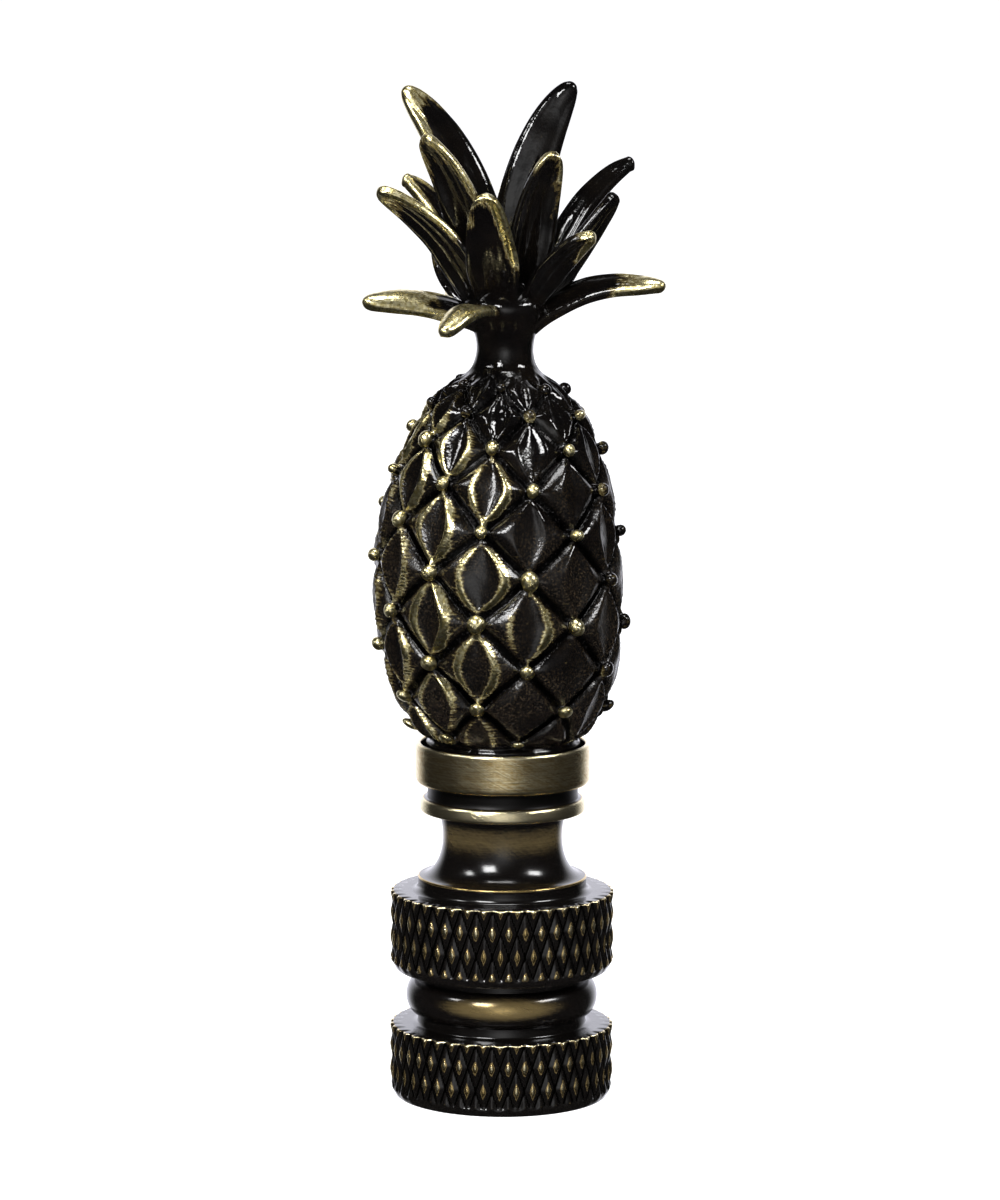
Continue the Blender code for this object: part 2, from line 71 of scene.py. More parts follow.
# Fruit: heights and radii of its egg, as the solid has them
FRUIT_FOOT = 20.50 * MM
FRUIT_WIDEST_HEIGHT = 28.85 * MM
FRUIT_RADIUS = 6.58 * MM
FRUIT_RISE = 12.75 * MM
FRUIT_DROP = 9.75 * MM
FRUIT_DROP_FULLNESS = 2.4
FRUIT_SHOULDER = 40.45 * MM
FRUIT_SIDE_BULGE = -0.33 * MM
FOOT_RADIUS = 4.32 * MM

# Neck and the stem that the leaves grow from
NECK_FOOT_HEIGHT, NECK_FOOT_RADIUS = 40.90 * MM, 2.30 * MM
NECK_WAIST_HEIGHT, NECK_WAIST_RADIUS = 42.35 * MM, 1.57 * MM
STEM_FOOT_HEIGHT, STEM_FOOT_RADIUS = 43.60 * MM, 1.85 * MM
STEM_WIDEST_HEIGHT, STEM_RADIUS = 44.60 * MM, 2.35 * MM
STEM_TOP = 47.20 * MM

# Spiral lattice of diamonds: fifteen to a row, on seven spirals one way and eight the other
CELLS_PER_ROW = 15
RIGHT_SPIRALS = 7
LEFT_SPIRALS = 8
LATTICE_TURN = math.radians(10.0)
LATTICE_LEAN_PER_ROW = math.radians(2.35)
LATTICE_START = math.radians(-39.4)
LATTICE_RISE_PER_ROW = math.radians(22.85)
CELL_STEPS = 32
EDGE_CROWDING = 0.6
FOOT_ROWS = 0.30
NECK_ROWS = 0.80

# Relief of each diamond, as shares of a diamond where no unit is given
CHANNEL_HALF_WIDTH = 0.035
CUSHION_WIDTH = 0.26
CUSHION_FULLNESS = 3.2
RIM_INSET = 0.125
RIM_WIDTH = 0.016
LOWER_LEFT_RIM_WIDTH = 0.030
# Width from a channel's edge over which shade is painted into the channel
PAINTED_SHADE_WIDTH = 0.085
HOLLOW_HALF_WIDTH = 0.37
HOLLOW_REACH = 0.80
HOLLOW_SKEW = 0.30
FLANK_END = 0.76
RIGHT_CREST_LIFT = 0.25
LINK_HALF_WIDTH = 0.070
FADE_START = 42.20 * MM
FADE_LENGTH = 4.60 * MM

# Rubbed bands along the crests: how far outside the hollow's edge, and half widths towards the
# rim and towards the hollow
RIGHT_BAND, RIGHT_BAND_OUT, RIGHT_BAND_IN = 0.03, 0.125, 0.065
LEFT_BAND, LEFT_BAND_WIDTH, LEFT_BAND_SHARE = 0.02, 0.085, 0.88

# Luck of each diamond and bead: steps in the noise from one to the next in number
CELL_STRIDES = (3.7, 1.3, 0.7)
BEAD_STRIDES = (2.9, 1.7, 0.3)

# Heights between which the relief starts over the fruit's foot, and rows past the last one
# between which it ends
FOOT_BLEND = (FRUIT_FOOT - 0.15 * MM, FRUIT_FOOT + 0.45 * MM)
SHOULDER_BLEND = (-0.02, 0.16)

# Heights between which beads shrink, dulled pads end, and the rippled shoulder starts and ends
BEAD_SHRINK = (32.0 * MM, 37.5 * MM)
SATIN_END = (34.0 * MM, 38.5 * MM)
RIPPLES_START = (36.6 * MM, 39.2 * MM)
RIPPLES_END = (40.6 * MM, 41.6 * MM)

# Hand rubbing: places across the fruit and heights between which it grows or fades, the bulge
# of its border to the right with its height and spread, and how far from the rubbed side the
# left half of a diamond counts beyond where it is
RUBBED_ACROSS = (-2.3 * MM, 0.5 * MM)
RUBBED_BULGE, BULGE_HEIGHT, BULGE_SPREAD = 2.0 * MM, 27.4 * MM, 1.7 * MM
RUBBED_LEFT_EDGE = (-6.7 * MM, -4.3 * MM)
RUBBED_TOP_RIGHT = (34.3 * MM, 37.6 * MM)
RUBBED_FOOT = (22.3 * MM, 25.2 * MM)
HELD_BACK = 2.2 * MM
DARK_BEADS_RIGHT = (4.6 * MM, 5.9 * MM)
DARK_BEADS_TOP = (38.2 * MM, 39.6 * MM)

# Beads: the ball's share of the way to the foot, the angle it covers, and the foot's radius
# as a share of the ball's
BALL_PART = 0.64
BALL_ANGLE = math.radians(125.0)
BEAD_FOOT = 1.45

# Knurled discs of the base
KNURL_TEETH = 42
KNURL_HALF_PITCH = 1.32 * MM
KNURL_TURN = math.radians(3.6)
KNURL_FLAT = 0.10
TURN_STEPS = 11 * KNURL_TEETH

# Marks of files and wire brushes on the casting, and the spacing of a wave texture of scale 1
FILE_MARK_SPACING = 0.20 * MM
FILE_MARK_DEPTH = 0.006 * MM
WAVE_PERIOD = TAU / 20.0

# Grain of the casting: the size of each kind, and its depth where it is relief
SPECKLE_SIZE = 0.20 * MM
COMB_SIZE = 0.16 * MM
PATCH_SIZE = 2.4 * MM
FRECKLE_SIZE = 0.11 * MM
SMEAR_SIZE = 0.9 * MM
LUMP_SIZE, LUMP_DEPTH = 0.60 * MM, 0.024 * MM
RIPPLE_SIZE, RIPPLE_DEPTH = 0.44 * MM, 0.060 * MM
SAND_SIZE, SAND_DEPTH = 0.13 * MM, 0.018 * MM
PIT_SIZE, PIT_DEPTH = 0.18 * MM, 0.022 * MM

# Grain of the base: the lathe's lines, the pad's strokes and the depth of both, spots, clouds
# and a slight swell
LINE_SIZE, STROKE_SIZE, CUT_DEPTH = 0.07 * MM, 0.08 * MM, 0.009 * MM
SPOT_SIZE, CLOUD_SIZE = 0.16 * MM, 1.6 * MM
SWELL_SIZE, SWELL_DEPTH = 0.25 * MM, 0.002 * MM

# Drum that the turning marks are drawn round, and the slant of the pad's strokes
LATHE_RADIUS = 5.0 * MM
STROKE_ANGLE = math.radians(28.0)

# Camera: distance from the axis, height, view angle below level, lens and roll
CAMERA_DISTANCE = 280.0 * MM
CAMERA_HEIGHT = 69.28 * MM
CAMERA_TILT = math.radians(8.33)
CAMERA_ROLL = math.radians(0.30)
CAMERA_LENS = 151.2
SENSOR_WIDTH = 36.0
PHOTO_WIDTH, PHOTO_HEIGHT = 1000, 1200
AXIS_COLUMN = 503.7


def linear(code):
    """Linear RGB of an sRGB hex colour."""
    shares = np.array([int(code[i:i + 2], 16) / 255.0 for i in (1, 3, 5)])
    low = shares / 12.92
    high = ((shares + 0.055) / 1.055) ** 2.4
    return tuple(float(share) for share in np.where(shares <= 0.04045, low, high))


def smooth_step(value, low=0.0, high=1.0):
    """0 below low, 1 above high, with a smooth ramp between."""
    share = np.clip((value - low) / (high - low), 0.0, 1.0)
    return share * share * (3.0 - 2.0 * share)


def polar(radius, turn, height):
    """Points at turns from the front, + to the right, at radii and heights."""
    return np.stack(np.broadcast_arrays(radius * np.sin(turn), -radius * np.cos(turn), height), axis=-1)


NOISE_SIDE = 32
NOISE_TABLE = np.random.default_rng(11).random((NOISE_SIDE,) * 3) * 2.0 - 1.0


def cloud(points, size, shift=0.0):
    """Smooth noise from -1 to 1 with lumps of a size: random corner values, blended inside each cube."""
    place = points / size + shift
    cell = np.floor(place).astype(int)
    part = smooth_step(place - cell)
    total = np.zeros(points.shape[:-1])
    for corner in itertools.product((0, 1), repeat=3):
        weight = np.where(corner, part, 1.0 - part).prod(axis=-1)
        x, y, z = np.moveaxis((cell + corner) % NOISE_SIDE, -1, 0)
        total += weight * NOISE_TABLE[x, y, z]
    return total


def curve_through(knots, count):
    """Even steps along a smooth curve through knots: each span is a cubic set by its neighbours."""
    knots = np.asarray(knots, float)
    padded = np.vstack([2 * knots[0] - knots[1], knots, 2 * knots[-1] - knots[-2]])
    place = np.linspace(0.0, len(knots) - 1 - 1e-9, count)
    span = place.astype(int)
    t = (place - span)[:, None]
    before, start, end, after = (padded[span + i] for i in range(4))
    return 0.5 * (
        2 * start + (end - before) * t + (2 * before - 5 * start + 4 * end - after) * t ** 2
        + (3 * start - before - 3 * end + after) * t ** 3
    )


def add_object(name, data):
    """New object in the scene."""
    made = bpy.data.objects.new(name, data)
    bpy.context.collection.objects.link(made)
    return made


def add_surface(name, points, quads, material, **fields):
    """Smooth mesh object from points in metres and the corner numbers of four-sided faces.

    Two neighbouring corners that are one point make a triangle, and a face with fewer corners
    is left out. Points that no face uses are left out too. fields are numbers or vectors kept
    at each point for the material. Points and fields may be grids.
    """
    points = points.reshape(-1, 3)
    repeats = (quads == np.roll(quads, -1, axis=1)).sum(axis=1)
    pointed = quads[repeats == 1]
    keep = pointed != np.roll(pointed, -1, axis=1)
    triangles = pointed[keep].reshape(-1, 3)
    quads = quads[repeats == 0]
    used, corners = np.unique(np.concatenate([quads.ravel(), triangles.ravel()]), return_inverse=True)
    starts = np.concatenate([
        np.arange(len(quads)) * 4,
        len(quads) * 4 + np.arange(len(triangles)) * 3,
    ])
    mesh = bpy.data.meshes.new(name)
    mesh.vertices.add(len(used))
    mesh.vertices.foreach_set("co", points[used].astype(np.float32).ravel())
    mesh.loops.add(len(corners))
    mesh.loops.foreach_set("vertex_index", corners.astype(np.int32).ravel())
    mesh.polygons.add(len(starts))
    mesh.polygons.foreach_set("loop_start", starts.astype(np.int32))
    mesh.update(calc_edges=True)
    mesh.shade_smooth()
    for field, values in fields.items():
        values = values.reshape(len(points), -1)[used].astype(np.float32)
        kind, key = ("FLOAT", "value") if values.shape[1] == 1 else ("FLOAT_VECTOR", "vector")
        mesh.attributes.new(field, kind, "POINT").data.foreach_set(key, values.ravel())
    mesh.materials.append(material)
    return add_object(name, mesh)


def tube_quads(rows, columns, poles=(0, -1)):
    """Faces of a grid of points, rows by columns, closed around; rows named as poles are one point."""
    here = np.arange(rows * columns).reshape(rows, columns)
    for pole in poles:
        here[pole] = here[pole, 0]
    right = np.roll(here, -1, axis=1)
    return np.stack([here[:-1], right[:-1], right[1:], here[1:]], axis=-1).reshape(-1, 4)


def distance_along(first, second):
    """Distance along a line of points, given by two coordinates each, from its first point."""
    return np.concatenate([[0.0], np.cumsum(np.hypot(np.diff(first), np.diff(second)))])


def stand_for(piece, node):
    """Let a finished piece ride with the finial and stand for a solid of the frame."""
    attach(piece, "root")
    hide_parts(node)


# Materials

class Nodes:
    """A node tree, with short ways to add the nodes that finishes and light are mixed from."""

    def __init__(self, tree):
        tree.nodes.clear()
        self.tree = tree

    def feed(self, node, inputs):
        """Give each named socket of a node a value or another node's output."""
        for socket, value in inputs.items():
            if isinstance(value, bpy.types.NodeSocket):
                self.tree.links.new(value, node.inputs[socket])
            else:
                node.inputs[socket].default_value = value

    def add(self, kind, inputs, **settings):
        """New shader node of a kind, with its inputs and settings."""
        made = self.tree.nodes.new("ShaderNode" + kind)
        for name, value in settings.items():
            setattr(made, name, value)
        self.feed(made, inputs)
        return made

    def place(self, output="Object"):
        """Place on the object in metres, or with output Generated a direction in the world."""
        return self.add("TexCoord", {}).outputs[output]

    def field(self, name, output="Fac"):
        """Number kept at the mesh's points, or with output Vector a place kept there."""
        return self.add("Attribute", {}, attribute_name=name).outputs[output]

    def math(self, operation, *values):
        """Output of a math node."""
        return self.add("Math", dict(enumerate(values)), operation=operation).outputs[0]

    def plus(self, *values):
        """Sum of values."""
        return functools.reduce(functools.partial(self.math, "ADD"), values)

    def times(self, *values):
        """Product of values."""
        return functools.reduce(functools.partial(self.math, "MULTIPLY"), values)

    def highest(self, first, second):
        """The higher of two values."""
        return self.math("MAXIMUM", first, second)

    def grain(self, place, size, detail=2.0, stretch=(1.0, 1.0, 1.0)):
        """Noise with grains of a size in metres, stretched along its axes."""
        scale = [1.0 / (size * share) for share in stretch]
        placed = self.add("Mapping", {"Vector": place, "Scale": scale}).outputs[0]
        inputs = {"Vector": placed, "Scale": 1.0, "Detail": detail, "Roughness": 0.6}
        return self.add("TexNoise", inputs).outputs["Fac"]

    def ramp(self, value, low, high, out_low=0.0, out_high=1.0):
        """Smooth ramp of a value from one range to another."""
        inputs = {"Value": value, "From Min": low, "From Max": high, "To Min": out_low, "To Max": out_high}
        return self.add("MapRange", inputs, interpolation_type="SMOOTHSTEP").outputs[0]

    def mix(self, share, first, second):
        """Blend of two colours by a share."""
        ends = [end if isinstance(end, bpy.types.NodeSocket) else (*end, 1.0) for end in (first, second)]
        return self.add("Mix", {0: share, 6: ends[0], 7: ends[1]}, data_type="RGBA").outputs[2]

    def relief(self, *layers):
        """Normal of a surface with layers of relief: each is its height's share and its depth in metres."""
        inputs = {"Strength": 1.0}
        for height, depth in layers:
            inputs |= {"Height": height, "Distance": depth}
            inputs["Normal"] = self.add("Bump", inputs).outputs[0]
        return inputs["Normal"]


def new_material(name):
    """Material with its nodes and its shader, which feeds its output."""
    material = bpy.data.materials.new(name)
    material.use_nodes = True
    nodes = Nodes(material.node_tree)
    shader = nodes.add("BsdfPrincipled", {})
    nodes.add("OutputMaterial", {"Surface": shader.outputs["BSDF"]})
    return material, nodes, shader


def cast_antique_brass(settings):
    """Cast brass, blackened in a bath, rubbed back on what stands proud, then lacquered.

    The bath leaves a near-black skin that shines like enamel and hardly shows its metal. The
    rubbing brings back olive-gold metal on beads, crests and leaf tips, with ragged borders,
    because the cast skin is grainy. "worn" is 0 on the skin and 1 where the metal is bare, and
    "satin" is 1 where the pads were only dulled. "rippled" is 1 round the fruit's shoulder,
    where the casting is uneven and the lacquer sparkles. "channel" is 1 deep in the channels,
    where shade is painted: a black with no shine of its own, mixed as a black metal without the
    lacquer's reflection, stands in for the shade there. "comb" is a place whose first axis runs
    along the file marks.
    """
    material, nodes, shader = new_material("cast_antique_brass")
    place, comb_place = nodes.place(), nodes.field("comb", "Vector")
    worn, channel, satin, rippled = map(nodes.field, ("worn", "channel", "satin", "rippled"))
    speckle = nodes.grain(place, SPECKLE_SIZE, 4.0)
    comb = nodes.grain(comb_place, COMB_SIZE, 2.0, (6.0, 1.0, 1.0))
    waves = {"Vector": comb_place, "Scale": WAVE_PERIOD / FILE_MARK_SPACING}
    waves |= {"Distortion": 5.0, "Detail": 2.0, "Detail Scale": 0.6}
    file_marks = nodes.add("TexWave", waves, bands_direction="Y").outputs["Fac"]
    patches = nodes.grain(place, PATCH_SIZE)
    shares = ((speckle, 0.55), (comb, 0.70), (file_marks, 0.12), (patches, 0.30))
    ragged = nodes.plus(*(nodes.times(kind, share) for kind, share in shares))
    shifted = nodes.plus(worn, nodes.math("SUBTRACT", ragged, 0.85))
    bare = nodes.ramp(shifted, 0.34, 0.60)
    warm = nodes.ramp(shifted, 0.16, 0.44)
    freckles = nodes.ramp(nodes.grain(place, FRECKLE_SIZE), 0.46, 0.72)
    browned = nodes.times(nodes.ramp(patches, 0.40, 0.70), 0.07)
    browned = nodes.highest(browned, nodes.times(satin, freckles))
    skin = nodes.mix(browned, settings.skin_colour, settings.brown_colour)
    skin = nodes.mix(warm, skin, settings.olive_colour)
    metal = nodes.mix(nodes.ramp(speckle, 0.35, 0.65), settings.brass_shade, settings.brass_colour)
    # Painted shade: the channels, in patches, turn to a black metal with no reflection
    painted_shade = nodes.times(channel, nodes.ramp(patches, 0.35, 0.65, 1.0, 0.80))
    smear = nodes.ramp(nodes.grain(place, SMEAR_SIZE, 3.0), 0.3, 0.7, 0.05, 0.13)
    dulled = nodes.highest(nodes.times(bare, 0.20), nodes.times(satin, 0.16))
    lumps = nodes.grain(place, LUMP_SIZE)
    ripples = nodes.times(nodes.grain(place, RIPPLE_SIZE, 0.6), rippled)
    filed = nodes.plus(comb, nodes.times(file_marks, 0.5))
    filed = nodes.times(filed, nodes.ramp(worn, 0.05, 0.45, 0.12, 1.0))
    sand = nodes.times(nodes.grain(place, SAND_SIZE, 1.0), nodes.ramp(satin, 0.0, 1.0, 0.25, 1.0))
    pits = nodes.times(nodes.ramp(nodes.grain(place, PIT_SIZE, 1.0), 0.35, 0.5), channel)
    # Where shade is painted, colour, metallic and roughness make a black metal that reflects nothing
    nodes.feed(shader, {
        "Base Color": nodes.mix(painted_shade, nodes.mix(bare, skin, metal), settings.painted_shade_colour),
        "Metallic": nodes.highest(painted_shade, nodes.ramp(shifted, 0.24, 0.60)),
        "Roughness": nodes.highest(nodes.plus(smear, dulled), nodes.times(painted_shade, 0.25)),
        "Normal": nodes.relief(
            (lumps, LUMP_DEPTH), (ripples, RIPPLE_DEPTH), (filed, FILE_MARK_DEPTH), (sand, SAND_DEPTH),
            (pits, PIT_DEPTH),
        ),
    })
    return material


def turned_antique_brass(settings):
    """Brass turned on a lathe, blackened, rubbed with a fine abrasive pad and lacquered.

    The lathe and the pad leave fine lines round the work, which spread each reflection into a
    soft satin bar. "worn" is below 0 in grooves, where shade is painted: a black metal that
    swallows all light stands in for the shade there; 0 where the pad missed, about 0.5 on the
    satin brown of the collar and 1 on the bright edges. "lathe" and "strokes" are places on a
    drum, the second one twisted, so that marks drawn along them meet all the way round.
    """
    material, nodes, shader = new_material("turned_antique_brass")
    place, worn = nodes.place(), nodes.field("worn")
    lines = nodes.grain(nodes.field("lathe", "Vector"), LINE_SIZE, 2.0, (18.0, 18.0, 1.0))
    strokes = nodes.grain(nodes.field("strokes", "Vector"), STROKE_SIZE, 2.0, (1.0, 1.0, 14.0))
    marks = nodes.plus(lines, strokes)
    spots = nodes.math("SUBTRACT", nodes.grain(place, SPOT_SIZE, 3.0), 0.5)
    uneven = nodes.plus(nodes.times(nodes.math("SUBTRACT", marks, 1.0), 0.50), nodes.times(spots, 0.30))
    shifted = nodes.plus(worn, nodes.times(uneven, nodes.ramp(worn, 0.15, 0.55, 0.12, 1.0)))
    colour = nodes.mix(nodes.ramp(shifted, 0.10, 0.45), settings.skin_colour, settings.brown_colour)
    colour = nodes.mix(nodes.ramp(shifted, 0.40, 0.70), colour, settings.brass_colour)
    # Painted shade: where wear is below 0 the surface turns to a black metal with no reflection
    painted_shade = nodes.ramp(worn, -0.35, -0.02, 1.0, 0.0)
    clouds = nodes.ramp(nodes.grain(place, CLOUD_SIZE), 0.35, 0.65, -0.02, 0.02)
    rough = nodes.ramp(shifted, 0.12, 0.45, 0.16, 0.25)
    cut = nodes.times(marks, nodes.ramp(worn, 0.30, 0.55, 0.12, 1.0))
    nodes.feed(shader, {
        "Base Color": nodes.mix(painted_shade, colour, settings.painted_shade_colour),
        "Metallic": nodes.highest(painted_shade, nodes.ramp(shifted, 0.06, 0.36)),
        "Roughness": nodes.plus(clouds, rough, nodes.times(painted_shade, 0.35)),
        "Normal": nodes.relief((cut, CUT_DEPTH), (nodes.grain(place, SWELL_SIZE), SWELL_DEPTH)),
    })
    return material


# Cast fruit, neck and stem

def fruit_radius(height):
    """Radius of the channel floors: an ellipse above the widest height, a fuller curve below it."""
    above = np.clip((height - FRUIT_WIDEST_HEIGHT) / FRUIT_RISE, 0.0, 1.0)
    below = np.clip((FRUIT_WIDEST_HEIGHT - height) / FRUIT_DROP, 0.0, 0.95)
    lower = (1.0 - below ** FRUIT_DROP_FULLNESS) ** (1.0 / FRUIT_DROP_FULLNESS)
    return FRUIT_RADIUS * np.where(height >= FRUIT_WIDEST_HEIGHT, np.sqrt(1.0 - above ** 2), lower)


def row_at(height):
    """Lattice row of a height on the fruit."""
    rise = math.asin((height - FRUIT_WIDEST_HEIGHT) / FRUIT_RISE)
    return (rise - LATTICE_START) / LATTICE_RISE_PER_ROW


FIRST_ROW = row_at(FRUIT_FOOT)
LAST_ROW = row_at(FRUIT_SHOULDER)


def casting_outline():
    """Rows, radii and heights down the casting's middle section, from pole to pole.

    Under the fruit its foot is a disc in the collar. The fruit follows the egg, and above its
    shoulder the neck narrows to a waist and flares into the stem, on one smooth curve.
    """
    foot = np.array([
        (0.0, CASTING_LOW.z), (3.9 * MM, CASTING_LOW.z), (4.25 * MM, CASTING_LOW.z + 0.1 * MM),
        (FOOT_RADIUS, CASTING_LOW.z + 0.35 * MM), (FOOT_RADIUS, FRUIT_FOOT - 0.2 * MM),
    ])
    rows = np.linspace(FIRST_ROW, LAST_ROW, 400)
    heights = FRUIT_WIDEST_HEIGHT + FRUIT_RISE * np.sin(LATTICE_START + LATTICE_RISE_PER_ROW * rows)
    fruit = np.stack([fruit_radius(heights), heights], axis=1)
    neck = curve_through([
        (fruit_radius(FRUIT_SHOULDER), FRUIT_SHOULDER),
        (NECK_FOOT_RADIUS, NECK_FOOT_HEIGHT),
        (1.78 * MM, 41.50 * MM),
        (NECK_WAIST_RADIUS, NECK_WAIST_HEIGHT),
        (1.64 * MM, 43.05 * MM),
        (STEM_FOOT_RADIUS, STEM_FOOT_HEIGHT),
        (STEM_RADIUS, STEM_WIDEST_HEIGHT),
        (STEM_RADIUS * 0.85, STEM_WIDEST_HEIGHT + 0.9 * MM),
        (0.0, STEM_TOP),
    ], 200)
    foot_rows = np.linspace(FIRST_ROW - FOOT_ROWS, FIRST_ROW, len(foot), endpoint=False)
    neck_rows = np.linspace(LAST_ROW, LAST_ROW + NECK_ROWS, len(neck))
    points = np.vstack([foot, fruit[:-1], neck])
    return np.concatenate([foot_rows, rows[:-1], neck_rows]), points[:, 0], points[:, 1]


def lattice_points():
    """Lattice coordinates of the fruit's points, and the corner numbers of its faces.

    A point has a whole number of steps p along the spirals to the right and q along those to
    the left. It is filed by its column d = p - q round the fruit and by its step k up it, with
    q = k - floor(7 d / 15). A full turn is 15 cells of d, and stands 7 cells of q lower.
    """
    turn_steps = CELLS_PER_ROW * CELL_STEPS
    low = math.floor((FIRST_ROW - FOOT_ROWS) * CELL_STEPS) - 1
    high = math.ceil((LAST_ROW + NECK_ROWS) * CELL_STEPS) + 2
    count = high - low + 1
    d, k = np.meshgrid(np.arange(turn_steps), np.arange(low, high + 1), indexing="ij")
    q = k - RIGHT_SPIRALS * d // CELLS_PER_ROW
    p = d + q

    def number(p, q):
        """Number of the point at p, q, brought back into one turn."""
        turns = (p - q) // turn_steps
        around = (p - q) % turn_steps
        left = q + RIGHT_SPIRALS * CELL_STEPS * turns
        step = np.clip(left + RIGHT_SPIRALS * around // CELLS_PER_ROW, low, high) - low
        return around * count + step

    quads = np.stack([number(p, q), number(p + 1, q), number(p + 1, q + 1), number(p, q + 1)], axis=-1)
    return p.ravel(), q.ravel(), quads.reshape(-1, 4)


def crowd(steps):
    """Cell coordinate of whole steps, with the steps crowded towards the cell's two edges."""
    share = steps / CELL_STEPS
    return share - EDGE_CROWDING * np.sin(TAU * share) / TAU


def diamond_relief(s, t, settings, size, hollowed, broad, bent):
    """Height of the pads over the channel floors, the masks that their wear follows, and the mask of painted
    shade in the channels.

    a runs across a diamond and b up it, both from -1 to 1. A pad rises steeply from the channel
    and rounds over like a cushion. An almond-shaped hollow runs from its top to its bottom
    corner, deepest a little right of its middle, and its edges are crests, the right one
    higher, from which the pad falls away to its rim. At the top and bottom corners a short
    ridge links crest and bead. size scales a pad's whole height, hollowed the depth of its
    hollow and broad its width; bent is how far its middle is pushed sideways.
    """
    a = s - t
    b = s + t - 1.0
    inset = (1.0 - np.abs(a) - np.abs(b)) / 2.0
    into = np.clip((inset - CHANNEL_HALF_WIDTH) / CUSHION_WIDTH, 0.0, 1.0)
    pad = (1.0 - (1.0 - into) ** CUSHION_FULLNESS) * smooth_step(into, 0.0, 0.12)
    bow = np.clip(1.0 - np.abs(b / HOLLOW_REACH) ** 1.7, 0.0, 1.0)
    half_width = HOLLOW_HALF_WIDTH * broad * bow
    from_middle = a - bent * bow
    beyond = np.abs(from_middle) - half_width
    flank = np.clip(1.0 - beyond / np.maximum(FLANK_END - np.abs(b) - half_width, 0.10), 0.0, 1.0)
    across = np.clip(from_middle / np.maximum(half_width, 0.03), -1.0, 1.0)
    skewed = (across - HOLLOW_SKEW) / (1.0 - HOLLOW_SKEW * np.sign(across - HOLLOW_SKEW))
    length = smooth_step(half_width, 0.0, 0.16)
    crest = np.where(beyond > 0.0, flank ** 1.5, 1.0) * (1.0 + RIGHT_CREST_LIFT * across)
    bowl = (settings.hollow_depth + settings.crest_height) * (1.0 - skewed ** 2) * (beyond < 0.0)
    height = settings.pad_height + length * hollowed * (settings.crest_height * crest - bowl)
    link = np.exp(-(a / LINK_HALF_WIDTH) ** 2) * smooth_step(np.abs(b), 0.58, 0.78)
    link_height = (settings.pad_height + 0.3 * settings.crest_height) * link
    right_width = np.where(beyond > RIGHT_BAND, RIGHT_BAND_OUT, RIGHT_BAND_IN)
    crest_band = length * np.where(
        from_middle > 0.0,
        np.exp(-((beyond - RIGHT_BAND) / right_width) ** 2),
        LEFT_BAND_SHARE * np.exp(-((beyond - LEFT_BAND) / LEFT_BAND_WIDTH) ** 2),
    )
    rim_width = np.where((a < 0.0) & (b < 0.0), LOWER_LEFT_RIM_WIDTH, RIM_WIDTH)
    rim_band = np.exp(-((inset - RIM_INSET) / rim_width) ** 2)
    # Painted shade: 1 deep in the channel, fading out towards the pad
    painted_shade = 1.0 - smooth_step(inset, 0.3 * PAINTED_SHADE_WIDTH, PAINTED_SHADE_WIDTH)
    return size * pad * height, size * link_height, crest_band, rim_band, link, painted_shade * (1.0 - link)


def bead_profile(offset, radius, height):
    """Distance from a bead's middle line, and height over the channel, from its top outwards.

    offset is 0 at the top and 1 at the foot. The first part is a ball, down past its widest
    line, and the rest a short stalk that flares into the channel.
    """
    angle = np.clip(offset / BALL_PART, 0.0, 1.0) * BALL_ANGLE
    down = np.clip((offset - BALL_PART) / (1.0 - BALL_PART), 0.0, 1.0)
    waist = radius * math.sin(BALL_ANGLE)
    stalk = height - radius * (1.0 - math.cos(BALL_ANGLE))
    on_ball = offset < BALL_PART
    away = np.where(on_ball, radius * np.sin(angle), waist + (radius * BEAD_FOOT - waist) * down ** 2)
    rise = np.where(on_ball, height - radius * (1.0 - np.cos(angle)), stalk * (1.0 - down) ** 2)
    return away, rise


